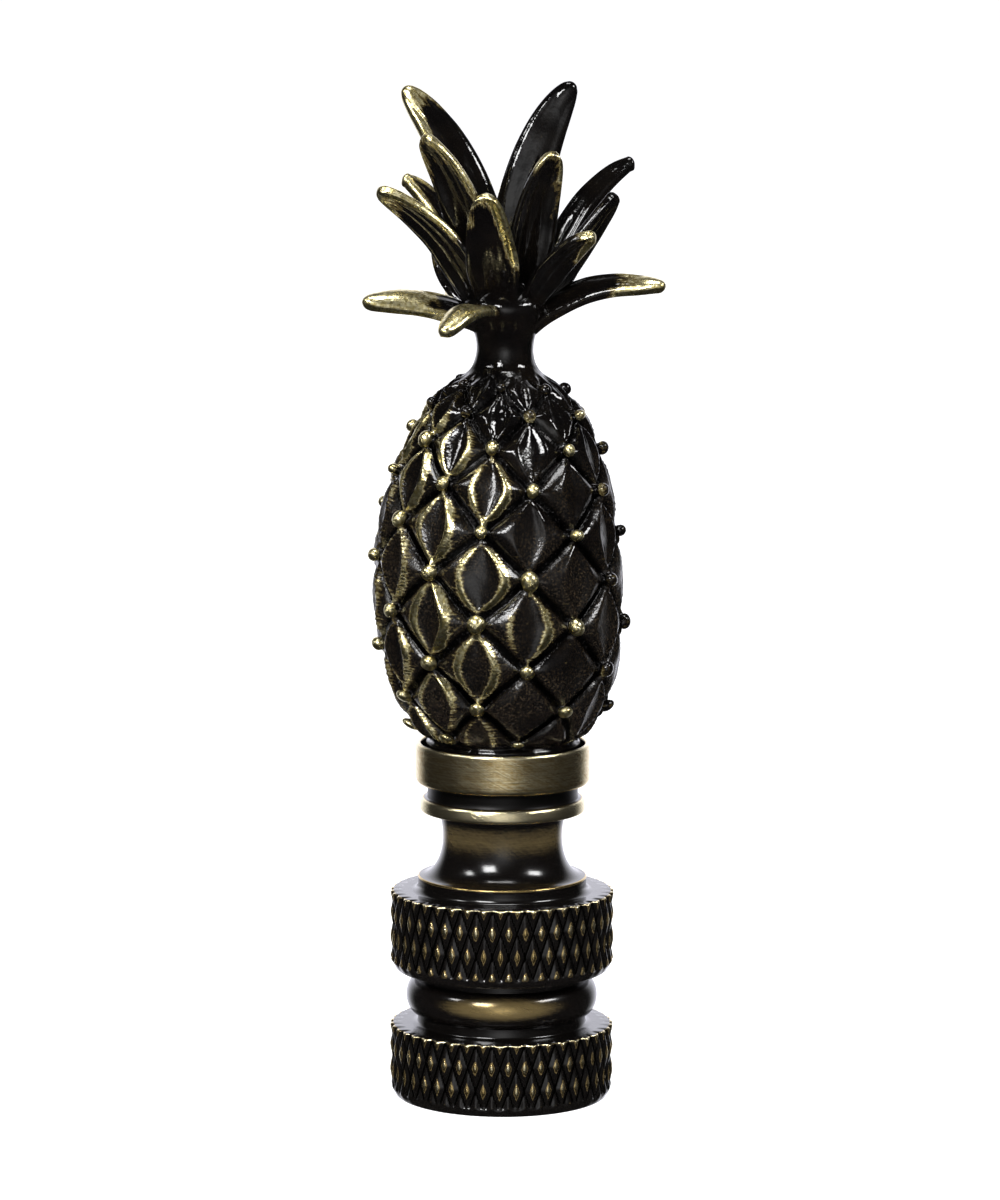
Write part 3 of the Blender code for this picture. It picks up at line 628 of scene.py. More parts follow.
def build_fruit_arrays(settings):
    """Points and faces of the fruit, neck and stem, their rows and the fields for their finish."""
    p, q, quads = lattice_points()
    cell_s, cell_t = p // CELL_STEPS, q // CELL_STEPS
    s = crowd(p - cell_s * CELL_STEPS)
    t = crowd(q - cell_t * CELL_STEPS)
    rows, radii, heights = casting_outline()
    arcs = distance_along(radii, heights)

    def places(s_all, t_all):
        """Row, turn, radius, height and distance up the outline at lattice coordinates."""
        row = np.clip((RIGHT_SPIRALS * s_all + LEFT_SPIRALS * t_all) / CELLS_PER_ROW, rows[0], rows[-1])
        turn = LATTICE_TURN + LATTICE_LEAN_PER_ROW * row + TAU / CELLS_PER_ROW * (s_all - t_all)
        return row, turn, *(np.interp(row, rows, values) for values in (radii, heights, arcs))

    row, turn, radius, height, arc = places(cell_s + s, cell_t + t)
    corner_s, corner_t = np.rint(s), np.rint(t)
    _, corner_turn, _, _, corner_arc = places(cell_s + corner_s, cell_t + corner_t)
    fade = smooth_step((FADE_START - height) / FADE_LENGTH)
    footing = smooth_step(height, *FOOT_BLEND)
    ended = 1.0 - smooth_step(row - LAST_ROW, *SHOULDER_BLEND)
    kept = footing * ended
    base = polar(radius, turn, height)
    cell = (RIGHT_SPIRALS * cell_s + LEFT_SPIRALS * cell_t).astype(float)
    jitter = np.outer(cell, CELL_STRIDES)
    wobble = cloud(base, 1.1 * MM) * 0.022
    relief, link_height, crest_band, rim_band, link, channel = diamond_relief(
        np.clip(s + wobble, 0.0, 1.0), np.clip(t + wobble, 0.0, 1.0), settings, 0.40 + 0.60 * fade,
        0.80 + 0.20 * cloud(jitter, 1.0, 6.0) - 0.30 * smooth_step(base[:, 0], -0.5 * MM, 2.5 * MM),
        0.95 + 0.24 * cloud(jitter, 1.0, 15.0), 0.10 * cloud(jitter, 1.0, 21.0),
    )
    linked = smooth_step(cloud(jitter, 1.0, 9.0), -0.5, 0.1)
    relief = np.maximum(relief * (1.0 + 0.16 * cloud(jitter, 1.0, 3.0)), link_height * linked)
    bead = (RIGHT_SPIRALS * (cell_s + corner_s) + LEFT_SPIRALS * (cell_t + corner_t)).astype(float)
    bead_place = np.outer(bead, BEAD_STRIDES)
    bead_size = 1.0 + 0.18 * cloud(bead_place, 1.0) + 0.24 * cloud(base, 0.50 * MM, 3.0)
    bead_radius = settings.bead_radius * bead_size * (1.0 - 0.24 * smooth_step(height, *BEAD_SHRINK))
    bead_drop = 1.14 + 0.30 * cloud(bead_place, 1.0, 5.0)
    distance = np.hypot((turn - corner_turn) * radius, (arc - corner_arc) / bead_drop)
    offset = np.minimum(distance / (BEAD_FOOT * bead_radius), 1.0)
    away, bead_rise = bead_profile(offset, bead_radius, settings.bead_height * (0.55 + 0.45 * fade))
    pull = np.where(offset < 1.0, away / np.maximum(distance, 1e-9) * kept + 1.0 - kept, 1.0)
    turn = corner_turn + (turn - corner_turn) * pull
    arc = corner_arc + (arc - corner_arc) * pull
    radius, height = np.interp(arc, arcs, radii), np.interp(arc, arcs, heights)
    skinned = smooth_step(row, rows[0], FIRST_ROW) * (1.0 - smooth_step(row, LAST_ROW + 0.3, rows[-1]))
    rough_cast = 0.030 * MM * cloud(base, 1.6 * MM, 2.0) + 0.012 * MM * cloud(base, 0.5 * MM, 4.0)
    rise = np.maximum(relief, bead_rise) * kept + rough_cast * skinned
    slope = np.interp(row, rows, np.gradient(radii, rows))
    climb = np.interp(row, rows, np.gradient(heights, rows))
    steep = np.hypot(slope, climb)
    out_share = np.where(height > FRUIT_WIDEST_HEIGHT, climb / steep, 1.0)
    up_share = np.where(height > FRUIT_WIDEST_HEIGHT, -slope / steep, 0.0)
    points = polar(radius + rise * out_share, turn, height + rise * up_share)
    share = np.clip((height - BASE_HIGH.z) / (NECK_WAIST_HEIGHT - BASE_HIGH.z), 0.0, 1.0)
    points[:, 0] += FRUIT_SIDE_BULGE * np.sin(math.pi * share) ** 2
    on_bead = smooth_step(bead_rise - relief, 0.0, 0.12 * MM) * (1.0 - smooth_step(offset, 0.50, 0.66))
    luck = 1.0 + 0.28 * cloud(jitter, 1.0, 12.0) + 0.32 * cloud(points, 0.9 * MM, 7.0)
    proud = np.clip(1.05 * crest_band + 0.22 * rim_band + 0.95 * link * linked, 0.0, 1.0)
    worn = rubbing(points, np.where(s < t, HELD_BACK, 0.0)) * luck * proud
    satin = (1.0 - channel) * (1.0 - smooth_step(height, *SATIN_END)) * footing * (1.0 - on_bead)
    rippled = smooth_step(height, *RIPPLES_START) * (1.0 - smooth_step(height, *RIPPLES_END))
    fields = dict(
        worn=np.maximum(worn, on_bead * bead_rubbing(points)) * kept,
        comb=np.stack([(s - t) * 2.7 * MM, (s + t) * 2.5 * MM, cell * 0.01], axis=1),
        # Mask of the shade painted in the channels, off the beads
        channel=channel * kept * (1.0 - on_bead),
        satin=satin * smooth_step(cloud(points, 2.0 * MM, 5.0), -0.9, 0.3),
        rippled=rippled * (1.0 - on_bead),
    )
    return points, quads, row, fields


def rubbing(points, held_back):
    """How much hand rubbing a place gets: most left of the middle, least at the top and right.

    held_back is how far from the rubbed side a place counts beyond where it is.
    """
    x, height = points[:, 0], points[:, 2]
    reach = RUBBED_BULGE * np.exp(-((height - BULGE_HEIGHT) / BULGE_SPREAD) ** 2)
    left = smooth_step(reach - x - held_back, *RUBBED_ACROSS)
    near = 0.28 + 0.72 * smooth_step(x, *RUBBED_LEFT_EDGE)
    low = 1.0 - 0.88 * smooth_step(height + 0.8 * x, *RUBBED_TOP_RIGHT)
    foot = 0.48 + 0.52 * smooth_step(height, *RUBBED_FOOT)
    patchy = 1.0 + 0.40 * cloud(points, 2.6 * MM, 1.0)
    return np.clip((0.07 + 1.03 * left) * near * low * foot * patchy, 0.0, 1.1)


def bead_rubbing(points):
    """How much the beads are rubbed: nearly all, save at the far right and round the top."""
    right = smooth_step(points[:, 0], *DARK_BEADS_RIGHT)
    top = smooth_step(points[:, 2], *DARK_BEADS_TOP)
    return 1.0 - 0.85 * np.maximum(right, top)


def length_setting(name, description, default, lowest=0.0):
    """Setting for a length in metres."""
    return bpy.props.FloatProperty(
        name=name, description=description, default=default, min=lowest, precision=5, unit="LENGTH",
    )


def colour_setting(name, description, code):
    """Setting for a colour, given as sRGB hex."""
    return bpy.props.FloatVectorProperty(
        name=name, description=description, subtype="COLOR", default=linear(code),
    )


def light_setting(name, description, default):
    """Setting for a brightness."""
    return bpy.props.FloatProperty(name=name, description=description, default=default, min=0.0)


class CastingSettings(bpy.types.PropertyGroup):
    """Sizes and colours of the cast pineapple."""

    pad_height: length_setting("Pad height", "Height of a diamond's rim over the channels", 0.38 * MM)
    crest_height: length_setting("Crest height", "Height of the hollow's edges over the rim", 0.20 * MM)
    hollow_depth: length_setting("Hollow depth", "Depth of the hollow under the rim", 0.26 * MM)
    bead_radius: length_setting("Bead radius", "Radius of the beads where channels cross", 0.40 * MM)
    bead_height: length_setting("Bead height", "Height of the beads over the channels", 0.86 * MM)
    leaf_thickness: length_setting("Leaf half thickness", "Half a leaf's thickness at its rims", 0.34 * MM)
    skin_colour: colour_setting("Skin", "Blackened skin", "#060505")
    brown_colour: colour_setting("Brown", "Thin brown skin", "#30271b")
    # Colour of the shade painted in the channels
    painted_shade_colour: colour_setting("Painted shade", "Soot in the channels", "#050404")
    olive_colour: colour_setting("Olive", "Brass half through its skin", "#4e4327")
    brass_shade: colour_setting("Brass, dull", "Bare brass where it is still dull", "#bcad72")
    brass_colour: colour_setting("Brass", "Bare brass, rubbed bright", "#f3e9bc")


class FINIAL_OT_fruit(bpy.types.Operator):
    """Build the quilted fruit with its neck and the stem inside the crown"""

    bl_idname = "finial.fruit"
    bl_label = "Fruit and neck"

    def execute(self, context):
        points, quads, row, fields = build_fruit_arrays(context.scene.finial_casting)
        numbers = np.arange(len(points))
        for pole in (row <= FIRST_ROW - FOOT_ROWS, row >= LAST_ROW + NECK_ROWS):
            numbers[pole] = np.flatnonzero(pole)[0]
            points[pole] = points[pole].mean(axis=0)
        material = context.scene.finial_cast_material
        piece = add_surface("fruit_and_neck", points, numbers[quads], material, **fields)
        stand_for(piece, "pineapple_casting")
        return {"FINISHED"}


# Crown of leaves

# turn is a leaf's direction from the front in degrees, + to the right; root, bend and tip are
# (distance from the axis, height) and half_width is the blade's, all in mm; roll turns the
# blade about its middle line, in degrees. tip_wear is the share of its length that is rubbed
# bare at the tip; near_wear and far_wear say how bare its two rims are, and rim_wear_from is
# where along it they start. The near rim is the one on the right of a leaf that points forward.
Leaf = namedtuple("Leaf", "name turn root bend tip half_width roll tip_wear near_wear far_wear rim_wear_from")
LEAVES = [Leaf(*row) for row in (
    ("tall_left", -112, (0.7, 45.4), (1.8, 53.2), (6.2, 56.8), 1.55, -55, 0.06, 0.95, 0.0, 0.52),
    ("tall_right", 115, (0.5, 45.4), (0.8, 53.2), (4.15, 57.15), 1.60, 70, 0.0, 0.0, 0.0, 0.5),
    ("upper_left", -68, (1.0, 45.2), (1.9, 50.9), (4.9, 54.4), 1.50, 38, 0.05, 0.65, 0.0, 0.50),
    ("upper_right", 58, (1.1, 45.2), (1.6, 50.7), (3.2, 53.5), 1.45, -38, 0.02, 0.24, 0.0, 0.45),
    ("middle_front", -17, (1.2, 44.9), (2.7, 48.8), (3.9, 51.3), 1.60, 5, 0.05, 0.84, 0.05, 0.30),
    ("middle_left", -76, (1.3, 44.8), (3.0, 49.5), (7.3, 51.4), 1.38, 33, 0.09, 0.95, 0.0, 0.45),
    ("middle_left_back", -106, (1.2, 45.4), (3.4, 51.0), (6.0, 51.8), 1.00, -30, 0.10, 0.85, 0.75, 0.50),
    ("right_curl", 105, (1.6, 45.2), (4.2, 51.8), (7.4, 52.8), 0.95, 40, 0.0, 0.0, 0.0, 0.5),
    ("right_spike", 80, (1.5, 44.6), (4.1, 48.2), (6.15, 51.2), 1.05, -35, 0.0, 0.0, 0.0, 0.5),
    ("small_front_right", 52, (1.4, 44.8), (4.2, 48.8), (6.15, 49.0), 1.02, -25, 0.03, 0.85, 0.05, 0.50),
    ("low_right", 76, (1.2, 43.7), (4.0, 47.0), (9.12, 46.1), 1.20, 33, 0.17, 0.3, 0.0, 0.70),
    ("low_left", -76, (1.3, 44.0), (4.2, 45.8), (8.15, 45.1), 1.25, -32, 0.50, 0.3, 0.8, 0.25),
    ("low_front", -29, (1.2, 44.6), (4.6, 45.8), (7.0, 43.7), 1.15, 0, 0.55, 0.9, 0.8, 0.25),
    ("back_left", -130, (1.4, 44.4), (4.9, 45.8), (4.8, 49.0), 1.25, 20, 0.10, 0.3, 0.3, 0.6),
    ("back_right", 133, (1.4, 44.4), (4.9, 45.6), (5.5, 48.8), 1.25, -20, 0.06, 0.2, 0.2, 0.6),
    ("low_back_left", -150, (1.3, 44.2), (4.2, 46.0), (6.4, 45.2), 1.15, 0, 0.30, 0.6, 0.6, 0.5),
    ("low_back_right", 158, (1.3, 44.2), (4.2, 46.2), (6.4, 45.4), 1.15, 0, 0.15, 0.3, 0.3, 0.5),
    ("middle_back", 178, (1.0, 44.6), (2.4, 48.2), (5.0, 49.6), 1.40, 0, 0.10, 0.7, 0.3, 0.5),
    ("upper_back_left", -150, (0.9, 45.0), (1.4, 49.8), (4.6, 52.2), 1.35, 0, 0.10, 0.3, 0.6, 0.5),
    ("upper_back_right", 150, (0.9, 45.0), (1.4, 50.0), (4.4, 53.0), 1.35, 0, 0.08, 0.2, 0.2, 0.6),
)]
LEAF_ROWS = 72
LEAF_SIDES = 48
LEAF_TIP_RADIUS = 0.40 * MM
ROOT_WIDTH_SHARE = 0.70
WIDEST_SHARE = 0.35
TAPER_START = 1.7
TAPER_BLUNTNESS = 0.4
CUP_SHARE = 0.25
DISH_SHARE = 0.50
LEAF_WAVINESS = 0.06 * MM


def leaf_arrays(leaf, thickness):
    """Points of one leaf with their wear and comb fields, from its root's pole to its tip's.

    The middle line is a quadratic curve through root, bend and tip. Round it runs a flat oval
    with full edges: across it cos(v) of the half width, through it the square root of sin(v)
    of the thickness, which is dished between the two rims and has a low rib in its middle. The
    blade is bent out by the square of the way across, and closes over its tip in a half round.
    """
    u = np.sin(np.linspace(0.0, 0.5 * math.pi, LEAF_ROWS))[:, None, None]
    v = np.linspace(0.0, TAU, LEAF_SIDES, endpoint=False)[None, :, None]
    turn, roll = math.radians(leaf.turn), math.radians(leaf.roll)
    ends = (leaf.root, leaf.bend, leaf.tip)
    root, bend, tip = (polar(reach * MM, turn, height * MM) for reach, height in ends)
    centre = (1 - u) ** 2 * root + 2 * u * (1 - u) * bend + u ** 2 * tip
    along = 2 * (1 - u) * (bend - root) + 2 * u * (tip - bend)
    along = along / np.linalg.norm(along, axis=-1, keepdims=True)
    level = polar(1.0, turn + math.pi / 2.0, 0.0)
    side = level * math.cos(roll) + np.cross(along, level) * math.sin(roll)
    outward = np.cross(side, along)
    across, edgeways = np.cos(v), np.abs(np.cos(v))
    through = np.sign(np.sin(v)) * np.abs(np.sin(v)) ** 0.5
    cap = LEAF_TIP_RADIUS / (np.linalg.norm(tip - bend) + np.linalg.norm(bend - root))
    round_end = np.sqrt(1.0 - np.clip((u - 1.0 + cap) / cap, 0.0, 1.0) ** 2)
    swell = ROOT_WIDTH_SHARE + (1.0 - ROOT_WIDTH_SHARE) * smooth_step(u / WIDEST_SHARE)
    blade = leaf.half_width * MM * (1.0 - u ** TAPER_START) ** TAPER_BLUNTNESS * swell
    width = np.maximum(blade, LEAF_TIP_RADIUS) * round_end
    rims = smooth_step(edgeways, 0.42, 0.84)
    rib = 0.35 * np.exp(-(across / 0.10) ** 2) * (through > 0.0)
    full_from = min(0.84, 0.95 - leaf.tip_wear)
    fullness = smooth_step(u, full_from, full_from + 0.13)
    dished = DISH_SHARE + (1.0 - DISH_SHARE) * np.maximum(np.maximum(rims, rib), fullness)
    depth = thickness * dished * round_end
    points = centre + side * across * width + outward * (through * depth + CUP_SHARE * across ** 2 * width)
    points = points + outward * cloud(points, 1.2 * MM, 6.0)[..., None] * LEAF_WAVINESS * round_end
    edge = smooth_step(edgeways, 0.55, 0.80)
    rim_bare = np.where(across > 0.0, leaf.near_wear, leaf.far_wear)
    rim_wear = smooth_step(edgeways + 0.50 * smooth_step(u, leaf.rim_wear_from, 1.0), 0.50, 0.82) * rim_bare
    rim_wear = rim_wear * smooth_step(u, leaf.rim_wear_from - 0.12, leaf.rim_wear_from + 0.18)
    bare_from = 1.0 - leaf.tip_wear
    reached = u + 0.12 * cloud(points, 0.8 * MM, 4.0)[..., None] + 0.10 * (edge - 0.5)
    tip_wear = smooth_step(reached, bare_from - 0.28, bare_from + 0.14) * (0.75 + 0.25 * edge)
    worn = np.maximum(rim_wear, tip_wear * (leaf.tip_wear > 0.0))
    lengthwise, crosswise = u * 11.0 * MM, across * width + through * MM
    comb = np.stack(np.broadcast_arrays(lengthwise, crosswise, leaf.turn * 0.001), axis=-1)
    points[0] = points[0].mean(axis=0)
    return points, worn, comb


class FINIAL_OT_crown(bpy.types.Operator):
    """Build the crown: each leaf a dished blade with rounded rims and a blunt tip"""

    bl_idname = "finial.crown"
    bl_label = "Crown of leaves"

    def execute(self, context):
        thickness = context.scene.finial_casting.leaf_thickness
        leaves = [leaf_arrays(leaf, thickness) for leaf in LEAVES]
        points, worn, comb = (np.concatenate(arrays) for arrays in zip(*leaves))
        one_leaf = tube_quads(LEAF_ROWS, LEAF_SIDES)
        quads = np.concatenate([one_leaf + i * LEAF_ROWS * LEAF_SIDES for i in range(len(LEAVES))])
        blank = np.zeros_like(worn)
        piece = add_surface(
            "crown_of_leaves", points, quads, context.scene.finial_cast_material,
            worn=worn, comb=comb, channel=blank, satin=blank, rippled=blank,
        )
        stand_for(piece, "pineapple_casting")
        return {"FINISHED"}


# Turned base

# Outlines from the seat's middle over the outside to the drill point. Each point has a radius
# and a height in mm, rows from the point before, and its wear, below 0 where shade is painted
# in a groove; two close together make an edge
BASE_TOP = (
    (0.00, 19.42, 0, 0.0), (4.55, 19.42, 2, 0.0), (4.62, 19.49, 1, 0.0), (4.62, 20.14, 2, 0.0),
    (4.66, 20.20, 2, 0.7), (4.74, 20.22, 1, 0.9), (4.86, 20.20, 2, 0.9), (4.92, 20.10, 2, 0.75),
    (4.92, 20.00, 1, 0.55), (4.92, 18.22, 6, 0.55), (4.89, 18.08, 2, 0.60), (4.80, 17.97, 2, 0.40),
    # Groove under the collar: wear below 0 paints shade into it
    (4.70, 17.95, 1, 0.10), (4.27, 17.95, 2, 0.02), (4.25, 17.93, 1, -0.2), (4.25, 17.10, 3, -0.2),
    (4.27, 17.08, 1, -0.1), (4.46, 17.08, 1, 0.3), (4.55, 17.05, 2, 0.95), (4.60, 16.98, 2, 0.95),
    (4.63, 16.87, 2, 1.00), (4.65, 16.73, 2, 1.00), (4.665, 16.57, 2, 1.00), (4.66, 16.44, 2, 0.90),
    (4.62, 16.35, 2, 0.80), (4.52, 16.31, 2, 0.55), (3.70, 16.30, 2, 0.1),
)
LIP_EDGE = (
    (4.70, 12.615, 1, 0.30), (4.76, 12.585, 1, 0.42), (4.78, 12.53, 2, 0.30), (4.76, 12.47, 2, 0.04),
    (4.75, 12.40, 1, 0.02), (4.75, 12.09, 3, 0.02), (4.78, 11.96, 1, 0.03), (4.85, 11.85, 1, 0.03),
    (4.96, 11.78, 1, 0.03), (5.09, 11.75, 1, 0.02),
)
SCREW_HOLE_RADIUS = 3.20
HOLE = (
    (4.8, 0.0, 2, 0.10), (SCREW_HOLE_RADIUS + 0.25, 0.0, 2, 0.30), (SCREW_HOLE_RADIUS, 0.25, 2, 0.5),
    (SCREW_HOLE_RADIUS, 9.50, 4, 0.3), (0.0, 10.70, 3, 0.3),
)
COVE_WAIST = (3.38, 14.80)
COVE_TOP = (3.62, 16.30)
COVE_FOOT = (4.66, 12.62)
COVE_TOP_ROWS = 8
COVE_ROWS = 20
COVE_WEAR = ((12.6, 0.13), (13.2, 0.08), (14.0, 0.10), (14.9, 0.18), (15.6, 0.16), (16.3, 0.03))
BEAD_RING = (4.75, 5.72)
BEAD_RING_REACH = (0.67, 1.00)
BEAD_RING_ROWS = 18
DISC_RADIUS = 6.33
RIM_ROUND = 0.09
CHAMFER_TOP = 0.56
KNURL_ROWS = 32
NECK_RADIUS = 4.75
UPPER_DISC = (7.30, 11.75)
LOWER_DISC = (0.0, 4.10)

# Edges of a disc above and below its knurl: inset from the rim, distance from the disc's face,
# wear, and share of the knurl's depth
UPPER_EDGE = (
    (1.18, 0.0, 0.02, 0.0), (0.73, 0.0, 0.02, 0.0), (0.20, 0.0, 0.02, 0.0), (0.14, 0.005, 0.40, 0.5),
    (0.06, 0.027, 1.00, 0.8),
)
LOWER_EDGE = (
    (0.06, 0.448, 0.05, 0.45), (0.12, 0.364, 0.05, 0.0), (0.28, 0.05, 0.04, 0.0), (0.34, 0.0, 0.04, 0.0),
)

# Wear of the ring: least, gain at the middle of its rubbed band, that band's height and spread,
# and how much of it is lost towards the left and right, from which turn from the front on; this
# loss at the sides is painted shade, not wear
RING_WEAR, RING_BAND_WEAR, RING_BAND_HEIGHT, RING_BAND_SPREAD = 0.04, 0.26, 5.93, 0.60
RING_SIDE_SHADE, RING_SHADE_TURN = 0.78, 1.05


def carry(start, turns):
    """Outline rows from a starting row on through more points: radius, height, wear, no knurl."""
    rows = []
    before = np.array(start[:3])
    for radius, height, count, worn in turns:
        point = np.array([radius, height, worn])
        rows += [[*(before + (point - before) * (i / count)), 0.0] for i in range(1, count + 1)]
        before = point
    return rows


def cove_rows():
    """Cove: a short upright curve from the thin disc to the waist, then a quarter oval to the lip."""
    shares = np.linspace(0.0, 1.0, COVE_TOP_ROWS, endpoint=False)
    upper = np.stack([
        COVE_WAIST[0] + (COVE_TOP[0] - COVE_WAIST[0]) * (1.0 - shares) ** 2,
        COVE_TOP[1] + (COVE_WAIST[1] - COVE_TOP[1]) * shares,
    ], axis=1)
    angles = np.linspace(0.0, 0.5 * math.pi, COVE_ROWS)
    lower = np.stack([
        COVE_FOOT[0] - (COVE_FOOT[0] - COVE_WAIST[0]) * np.cos(angles),
        COVE_WAIST[1] - (COVE_WAIST[1] - COVE_FOOT[1]) * np.sin(angles),
    ], axis=1)
    outline = np.vstack([upper, lower])
    worn = np.interp(outline[:, 1], *zip(*COVE_WEAR))
    return np.column_stack([outline, worn, np.zeros(len(outline))]).tolist()


def disc_rows(bottom, top):
    """Top face, knurled rim and chamfer of one disc; the last number is 1 on the knurl."""
    heights = np.linspace(top - RIM_ROUND, bottom + CHAMFER_TOP, KNURL_ROWS)
    rows = [[DISC_RADIUS - inset, top - drop, worn, knurled] for inset, drop, worn, knurled in UPPER_EDGE]
    rows += [[DISC_RADIUS, height, 0.0, 1.0] for height in heights]
    rows += [[DISC_RADIUS - inset, bottom + rise, worn, knurled] for inset, rise, worn, knurled in LOWER_EDGE]
    return rows


def ring_rows():
    """Neck between the discs with the half-round ring on it, soft where it meets each disc."""
    angles = np.linspace(0.5 * math.pi, -0.5 * math.pi, BEAD_RING_ROWS)
    radii = BEAD_RING[0] + BEAD_RING_REACH[0] * np.cos(angles)
    heights = BEAD_RING[1] + BEAD_RING_REACH[1] * np.sin(angles)
    worn = RING_WEAR + RING_BAND_WEAR * np.exp(-((heights - RING_BAND_HEIGHT) / RING_BAND_SPREAD) ** 2)
    ring = np.column_stack([radii, heights, worn, np.zeros(len(radii))]).tolist()
    high, low = UPPER_DISC[0], LOWER_DISC[1]
    start = [(5.4, high), (4.80, high), (NECK_RADIUS, high - 0.05), (NECK_RADIUS, high - 0.12)]
    start += [(NECK_RADIUS, heights[0] + 0.06)]
    end = [(NECK_RADIUS, heights[-1] - 0.06), (NECK_RADIUS, low + 0.14)]
    end += [(NECK_RADIUS + 0.03, low + 0.06), (NECK_RADIUS + 0.09, low + 0.01)]
    start, end = ([[*point, 0.03, 0.0] for point in points] for points in (start, end))
    return start + ring + end


def base_outline():
    """The base's whole outline, row by row: radius, height, wear and share of the knurl."""
    radius, height, _, worn = BASE_TOP[0]
    rows = [[radius, height, worn, 0.0]]
    rows += carry(rows[-1], BASE_TOP[1:])
    rows += cove_rows()
    rows += carry(rows[-1], LIP_EDGE)
    rows += disc_rows(*UPPER_DISC)
    rows += ring_rows()
    rows += disc_rows(*LOWER_DISC)
    rows += carry(rows[-1], HOLE)
    return np.array(rows)


def knurl_height(turn, height, top):
    """Height of the knurl from 0 in its grooves to 1 on its points.

    Two sets of grooves run round the rim at opposite slants. x and y are the shares of the way
    from a point to the next groove of each set; the nearer groove sets the height, which
    leaves pyramids, and their points are rubbed flat.
    """
    column = (turn - KNURL_TURN) / (TAU / KNURL_TEETH) + 0.5
    row = (top - height) / (2.0 * KNURL_HALF_PITCH)
    x = np.abs((column + row + 0.5) % 1.0 - 0.5) * 2.0
    y = np.abs((column - row + 0.5) % 1.0 - 0.5) * 2.0
    return np.minimum((1.0 - np.maximum(x, y)) / (1.0 - KNURL_FLAT), 1.0)


class BaseSettings(bpy.types.PropertyGroup):
    """Sizes and colours of the turned base."""

    knurl_depth: length_setting("Knurl depth", "Depth of the knurled rims' grooves", 0.24 * MM)
    thread_pitch: length_setting("Thread pitch", "Pitch of the 1/4-27 thread", 25.4 / 27.0 * MM, 0.1 * MM)
    thread_depth: length_setting("Thread depth", "Height of the thread over the wall", 0.51 * MM)
    skin_colour: colour_setting("Skin", "Blackened skin", "#0b0908")
    # Colour of the shade painted in the knurl's grooves and the groove under the collar
    painted_shade_colour: colour_setting("Painted shade", "Soot in the knurl's grooves", "#070504")
    brown_colour: colour_setting("Brown", "Rubbed satin brown", "#cdb277")
    brass_colour: colour_setting("Brass", "Bright edges", "#efe2ba")


class FINIAL_OT_base(bpy.types.Operator):
    """Build the turned base with its two knurled discs"""

    bl_idname = "finial.base"
    bl_label = "Turned base"

    def execute(self, context):
        outline = base_outline()
        radius, height, worn, rim = (column[:, None] for column in outline.T)
        turn = np.arange(TURN_STEPS)[None, :] * TAU / TURN_STEPS
        upper = height > 0.5 * (UPPER_DISC[0] + LOWER_DISC[1])
        top = np.where(upper, UPPER_DISC[1], LOWER_DISC[1])
        point = knurl_height(turn, height * MM, top * MM)
        cut = context.scene.finial_base.knurl_depth * (1.0 - point) * rim
        points = polar(radius * MM - cut, turn, height * MM)
        rubbed = smooth_step(point, 0.55, 1.0) * 0.90
        # Painted shade in the knurl's grooves: wear taken below 0 there, so they turn to a black metal
        groove_shade = smooth_step(0.24 - point, 0.0, 0.24) * 0.5
        knurl_wear_and_shade = (rubbed - groove_shade) * rim
        patchy = 0.85 + 0.45 * cloud(points, 1.3 * MM, 8.0)
        knurl_wear_and_shade = knurl_wear_and_shade * np.where(knurl_wear_and_shade > 0.0, patchy, 1.0)
        # The ring's rubbed band fades with the turn from the front: painted shade on the ring's sides
        on_ring = (height > LOWER_DISC[1] + 0.2) & (height < UPPER_DISC[0] - 0.2)
        sideways = np.abs((turn + math.pi) % TAU - math.pi)
        kept = 1.0 - RING_SIDE_SHADE * smooth_step(sideways, 0.0, RING_SHADE_TURN)
        worn = np.where(rim > 0.95, knurl_wear_and_shade, np.where(on_ring, worn * kept, worn))
        way = distance_along(outline[:, 0], outline[:, 1])[:, None] * MM
        lathe = polar(LATHE_RADIUS, turn, way)
        strokes = polar(LATHE_RADIUS, turn - way / (LATHE_RADIUS * math.tan(STROKE_ANGLE)), way)
        quads = tube_quads(len(outline), TURN_STEPS)[:, ::-1]
        piece = add_surface(
            "turned_base_finish", points, quads, context.scene.finial_turned_material,
            worn=worn, lathe=lathe, strokes=strokes,
        )
        stand_for(piece, "turned_base")
        return {"FINISHED"}


# Thread: steps to a turn, heights of its ends, and its section as shares of its depth from the
# wall and of its pitch along it
THREAD_STEPS = 48
THREAD_START = 0.70 * MM
THREAD_END = 9.00 * MM
THREAD_RUNOUT = 0.04
THREAD_DEEP = (-0.06, -0.06, 0.55, 1.0, 1.0, 0.55)
THREAD_SPREAD = (-0.46, 0.46, 0.26, 0.06, -0.06, -0.26)
THREAD_WEAR = 0.45


class FINIAL_OT_thread(bpy.types.Operator):
    """Build the screw thread in the base's hole"""

    bl_idname = "finial.thread"
    bl_label = "Screw thread"

    def execute(self, context):
        settings = context.scene.finial_base
        turns = (THREAD_END - THREAD_START) / settings.thread_pitch
        steps = int(turns * THREAD_STEPS)
        share = np.linspace(0.0, 1.0, steps)[:, None]
        turn = share * turns * TAU
        runout = smooth_step(share, 0.0, THREAD_RUNOUT) * smooth_step(1.0 - share, 0.0, THREAD_RUNOUT)
        deep, spread = np.array([THREAD_DEEP]), np.array([THREAD_SPREAD])
        depth = settings.thread_depth * np.where(deep > 0.0, deep * runout, deep)
        height = THREAD_START + share * (THREAD_END - THREAD_START) + spread * settings.thread_pitch
        points = polar(SCREW_HOLE_RADIUS * MM - depth, turn, height)
        for end in (0, -1):
            points[end] = points[end].mean(axis=0)
        lathe = polar(LATHE_RADIUS, turn, height)
        piece = add_surface(
            "screw_thread", points, tube_quads(*points.shape[:2]), context.scene.finial_turned_material,
            worn=np.full(points.shape[:2], THREAD_WEAR), lathe=lathe, strokes=lathe,
        )
        stand_for(piece, "turned_base")
        return {"FINISHED"}


# Floor, light and camera

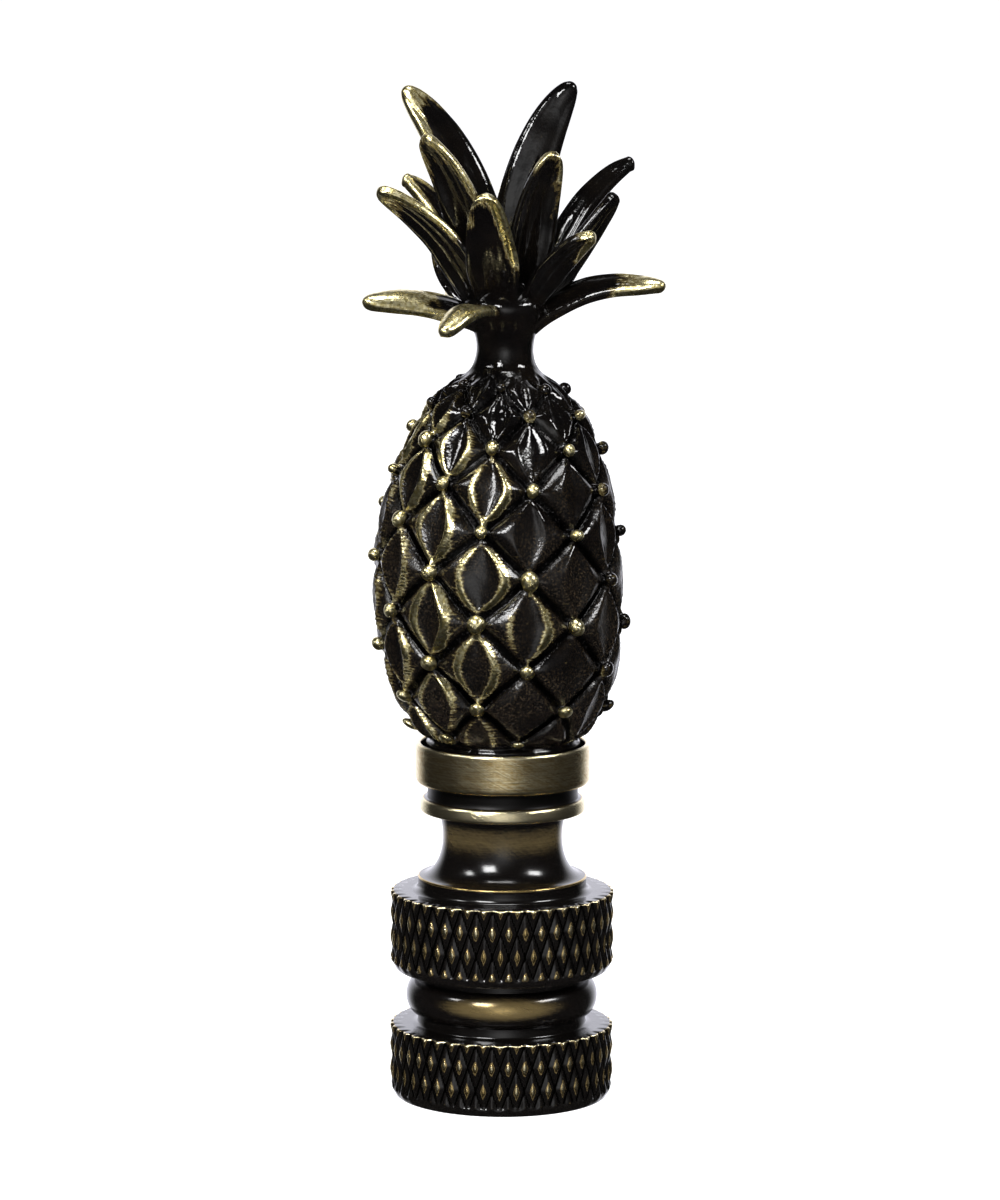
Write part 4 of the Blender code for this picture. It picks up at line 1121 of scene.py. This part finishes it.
class StageSettings(bpy.types.PropertyGroup):
    """Floor and lights."""

    floor_radius: length_setting("Floor radius", "Radius of the round floor", 3.0, 0.1)
    floor_colour: colour_setting("Floor", "Pale floor", "#f4f4f4")
    panel_light: light_setting("Front panel", "Brightness of the soft panel behind the camera", 1.02)
    backdrop_light: light_setting("Backdrop", "Brightness of the white backdrop in reflections", 1.75)
    side_light: light_setting("Sides", "Brightness of the dim sides in reflections", 0.02)


# Lights: turn from the front, + to the right, and climb above level in degrees, width and
# height in metres, and brightness; all stand the same way off and face the finial's middle
Lamp = namedtuple("Lamp", "name turn climb width height brightness")
LAMP_DISTANCE = 0.50
FINIAL_MIDDLE = Vector((0.0, 0.0, 0.028))

# Front panel in reflections: half widths of its bright middle and of its whole, the brightness
# of the whole as a share of the middle's, where its flags at the left and right stand and how
# soft they are, its tilt and its half height
PANEL_MIDDLE_WIDTH = math.radians(16.0)
PANEL_WIDTH = math.radians(60.0)
PANEL_SIDE_SHARE = 0.11
LEFT_FLAG = math.radians(-62.0)
RIGHT_FLAG = math.radians(79.0)
FLAG_BLUR = math.radians(7.0)
PANEL_TILT = math.radians(2.0)
PANEL_HALF_HEIGHT = math.radians(17.0)
BACKDROP_COLOUR = "#f4f4ff"

# Shares of straight back between which the backdrop brightens, and what the camera sees
BACKDROP_REACH = (0.62, 0.96)
SKY_LEVEL = 0.985

# Floor: rings as shares of its radius, points round each, and the strength of its own glow
FLOOR_RINGS = (0.0, 0.05, 0.15, 0.5, 1.0)
FLOOR_SIDES = 96
FLOOR_GLOW = 1.02

LAMPS = [Lamp(*row) for row in (
    ("key", -25.0, 29.0, 0.17, 0.12, 26.0),
    ("left_fill", -68.0, 37.0, 0.09, 0.08, 20.0),
    ("right_fill", 66.0, 36.0, 0.18, 0.08, 24.0),
    ("overhead", -10.0, 81.0, 0.22, 0.16, 12.0),
)]


def add_lamp(lamp):
    """Square soft light, aimed at the finial, that the camera doesn't see."""
    light = bpy.data.lights.new(lamp.name, "AREA")
    light.shape = "RECTANGLE"
    light.size, light.size_y = lamp.width, lamp.height
    light.energy = lamp.brightness * math.pi * lamp.width * lamp.height
    made = add_object(lamp.name, light)
    climb = math.radians(lamp.climb)
    away = Vector(polar(math.cos(climb), math.radians(lamp.turn), math.sin(climb)))
    made.location = FINIAL_MIDDLE + LAMP_DISTANCE * away
    made.rotation_euler = away.to_track_quat("Z", "Y").to_euler()
    made.visible_camera = False


def bell(nodes, value, middle, half_width):
    """Bell-shaped bump of a value: 1 at its middle, 0.37 a half width away."""
    away = nodes.math("DIVIDE", nodes.math("SUBTRACT", value, middle), half_width)
    return nodes.math("EXPONENT", nodes.times(away, away, -1.0))


def build_world(settings):
    """Pale surroundings to the camera; reflections meet a studio of soft panels.

    Behind the finial hangs a white backdrop. In front a soft panel is brightest in its middle,
    fades sideways and ends at the left and right in black flags. Above and beside it is dim.
    """
    world = bpy.data.worlds.new("studio")
    world.use_nodes = True
    bpy.context.scene.world = world
    nodes = Nodes(world.node_tree)
    parts = nodes.add("SeparateXYZ", {"Vector": nodes.place("Generated")}).outputs
    around = nodes.math("ARCTAN2", parts["X"], nodes.times(parts["Y"], -1.0))
    up = nodes.math("ARCSINE", parts["Z"])
    middle = nodes.times(bell(nodes, around, 0.0, PANEL_MIDDLE_WIDTH), settings.panel_light)
    wide = nodes.times(bell(nodes, around, 0.0, PANEL_WIDTH), settings.panel_light * PANEL_SIDE_SHARE)
    left_flag = nodes.ramp(around, LEFT_FLAG - FLAG_BLUR, LEFT_FLAG + FLAG_BLUR)
    right_flag = nodes.ramp(around, RIGHT_FLAG - FLAG_BLUR, RIGHT_FLAG + FLAG_BLUR, 1.0, 0.0)
    level = bell(nodes, up, PANEL_TILT, PANEL_HALF_HEIGHT)
    panel = nodes.times(nodes.plus(middle, wide), left_flag, right_flag, level)
    hung = nodes.ramp(parts["Y"], *BACKDROP_REACH)
    seen = nodes.plus(panel, nodes.times(hung, settings.backdrop_light), settings.side_light)
    sight = nodes.add("LightPath", {}).outputs["Is Camera Ray"]
    strength = nodes.add("Mix", {0: sight, 2: seen, 3: SKY_LEVEL}).outputs[0]
    cool = nodes.times(hung, nodes.math("SUBTRACT", 1.0, sight))
    colour = nodes.mix(cool, (1.0, 1.0, 1.0), linear(BACKDROP_COLOUR))
    sky = nodes.add("Background", {"Color": colour, "Strength": strength})
    nodes.add("OutputWorld", {"Surface": sky.outputs[0]})


class FINIAL_OT_stage(bpy.types.Operator):
    """Build the pale floor, the soft studio light and the camera"""

    bl_idname = "finial.stage"
    bl_label = "Floor, light and camera"

    def execute(self, context):
        settings = context.scene.finial_stage
        context.scene.view_settings.view_transform = "Standard"
        material, nodes, shader = new_material("matt_white_sweep")
        tone = nodes.ramp(nodes.grain(nodes.place(), 40.0 * MM), 0.3, 0.7, SKY_LEVEL, 1.0)
        colour = nodes.mix(tone, (0.0, 0.0, 0.0), settings.floor_colour)
        nodes.feed(shader, {
            "Base Color": colour, "Emission Color": colour, "Emission Strength": FLOOR_GLOW,
            "Roughness": 0.9, "Specular IOR Level": 0.0,
        })
        rings = np.array(FLOOR_RINGS)[:, None] * settings.floor_radius
        turn = np.arange(FLOOR_SIDES)[None, :] * TAU / FLOOR_SIDES
        points = polar(rings, turn, 0.0)
        floor = add_surface("floor", points, tube_quads(*points.shape[:2], (0,)), material)
        floor.visible_glossy = False
        floor.visible_shadow = False
        for lamp in LAMPS:
            add_lamp(lamp)
        build_world(settings)
        data = bpy.data.cameras.new("camera")
        data.lens = CAMERA_LENS
        data.sensor_width = SENSOR_WIDTH
        data.clip_start = 0.01
        data.shift_x = (0.5 * PHOTO_WIDTH - AXIS_COLUMN) / PHOTO_HEIGHT
        camera = add_object("camera", data)
        camera.matrix_world = (
            Matrix.Translation((0.0, -CAMERA_DISTANCE, CAMERA_HEIGHT))
            @ Matrix.Rotation(math.radians(90.0) - CAMERA_TILT, 4, "X")
            @ Matrix.Rotation(CAMERA_ROLL, 4, "Z")
        )
        context.scene.camera = camera
        return {"FINISHED"}


class FINIAL_OT_materials(bpy.types.Operator):
    """Mix the two finishes of antique brass"""

    bl_idname = "finial.materials"
    bl_label = "Finishes"

    def execute(self, context):
        scene = context.scene
        scene.finial_cast_material = cast_antique_brass(scene.finial_casting)
        scene.finial_turned_material = turned_antique_brass(scene.finial_base)
        return {"FINISHED"}


class VIEW3D_PT_finial(bpy.types.Panel):
    """Lists the finial's sizes, colours and pieces"""

    bl_label = "Pineapple finial"
    bl_space_type = "VIEW_3D"
    bl_region_type = "UI"
    bl_category = "Finial"

    def draw(self, context):
        layout = self.layout
        for title, settings in (
            ("Casting", context.scene.finial_casting),
            ("Base", context.scene.finial_base),
            ("Stage", context.scene.finial_stage),
        ):
            box = layout.box()
            box.label(text=title)
            for name in settings.bl_rna.properties.keys():
                if name not in ("rna_type", "name"):
                    box.prop(settings, name)
        for operator in OPERATORS:
            layout.operator(operator.bl_idname)


OPERATORS = (
    FINIAL_OT_materials, FINIAL_OT_fruit, FINIAL_OT_crown, FINIAL_OT_base, FINIAL_OT_thread, FINIAL_OT_stage,
)
CLASSES = (CastingSettings, BaseSettings, StageSettings, *OPERATORS, VIEW3D_PT_finial)


def register():
    for found in CLASSES:
        bpy.utils.register_class(found)
    scene = bpy.types.Scene
    scene.finial_casting = bpy.props.PointerProperty(type=CastingSettings)
    scene.finial_base = bpy.props.PointerProperty(type=BaseSettings)
    scene.finial_stage = bpy.props.PointerProperty(type=StageSettings)
    scene.finial_cast_material = bpy.props.PointerProperty(type=bpy.types.Material)
    scene.finial_turned_material = bpy.props.PointerProperty(type=bpy.types.Material)


def unregister():
    scene = bpy.types.Scene
    for name in ("casting", "base", "stage", "cast_material", "turned_material"):
        delattr(scene, "finial_" + name)
    for found in reversed(CLASSES):
        bpy.utils.unregister_class(found)


def main():
    register()
    bpy.ops.finial.materials()
    bpy.ops.finial.fruit()
    bpy.ops.finial.crown()
    bpy.ops.finial.base()
    bpy.ops.finial.thread()
    bpy.ops.finial.stage()


if __name__ == "__main__":
    main()
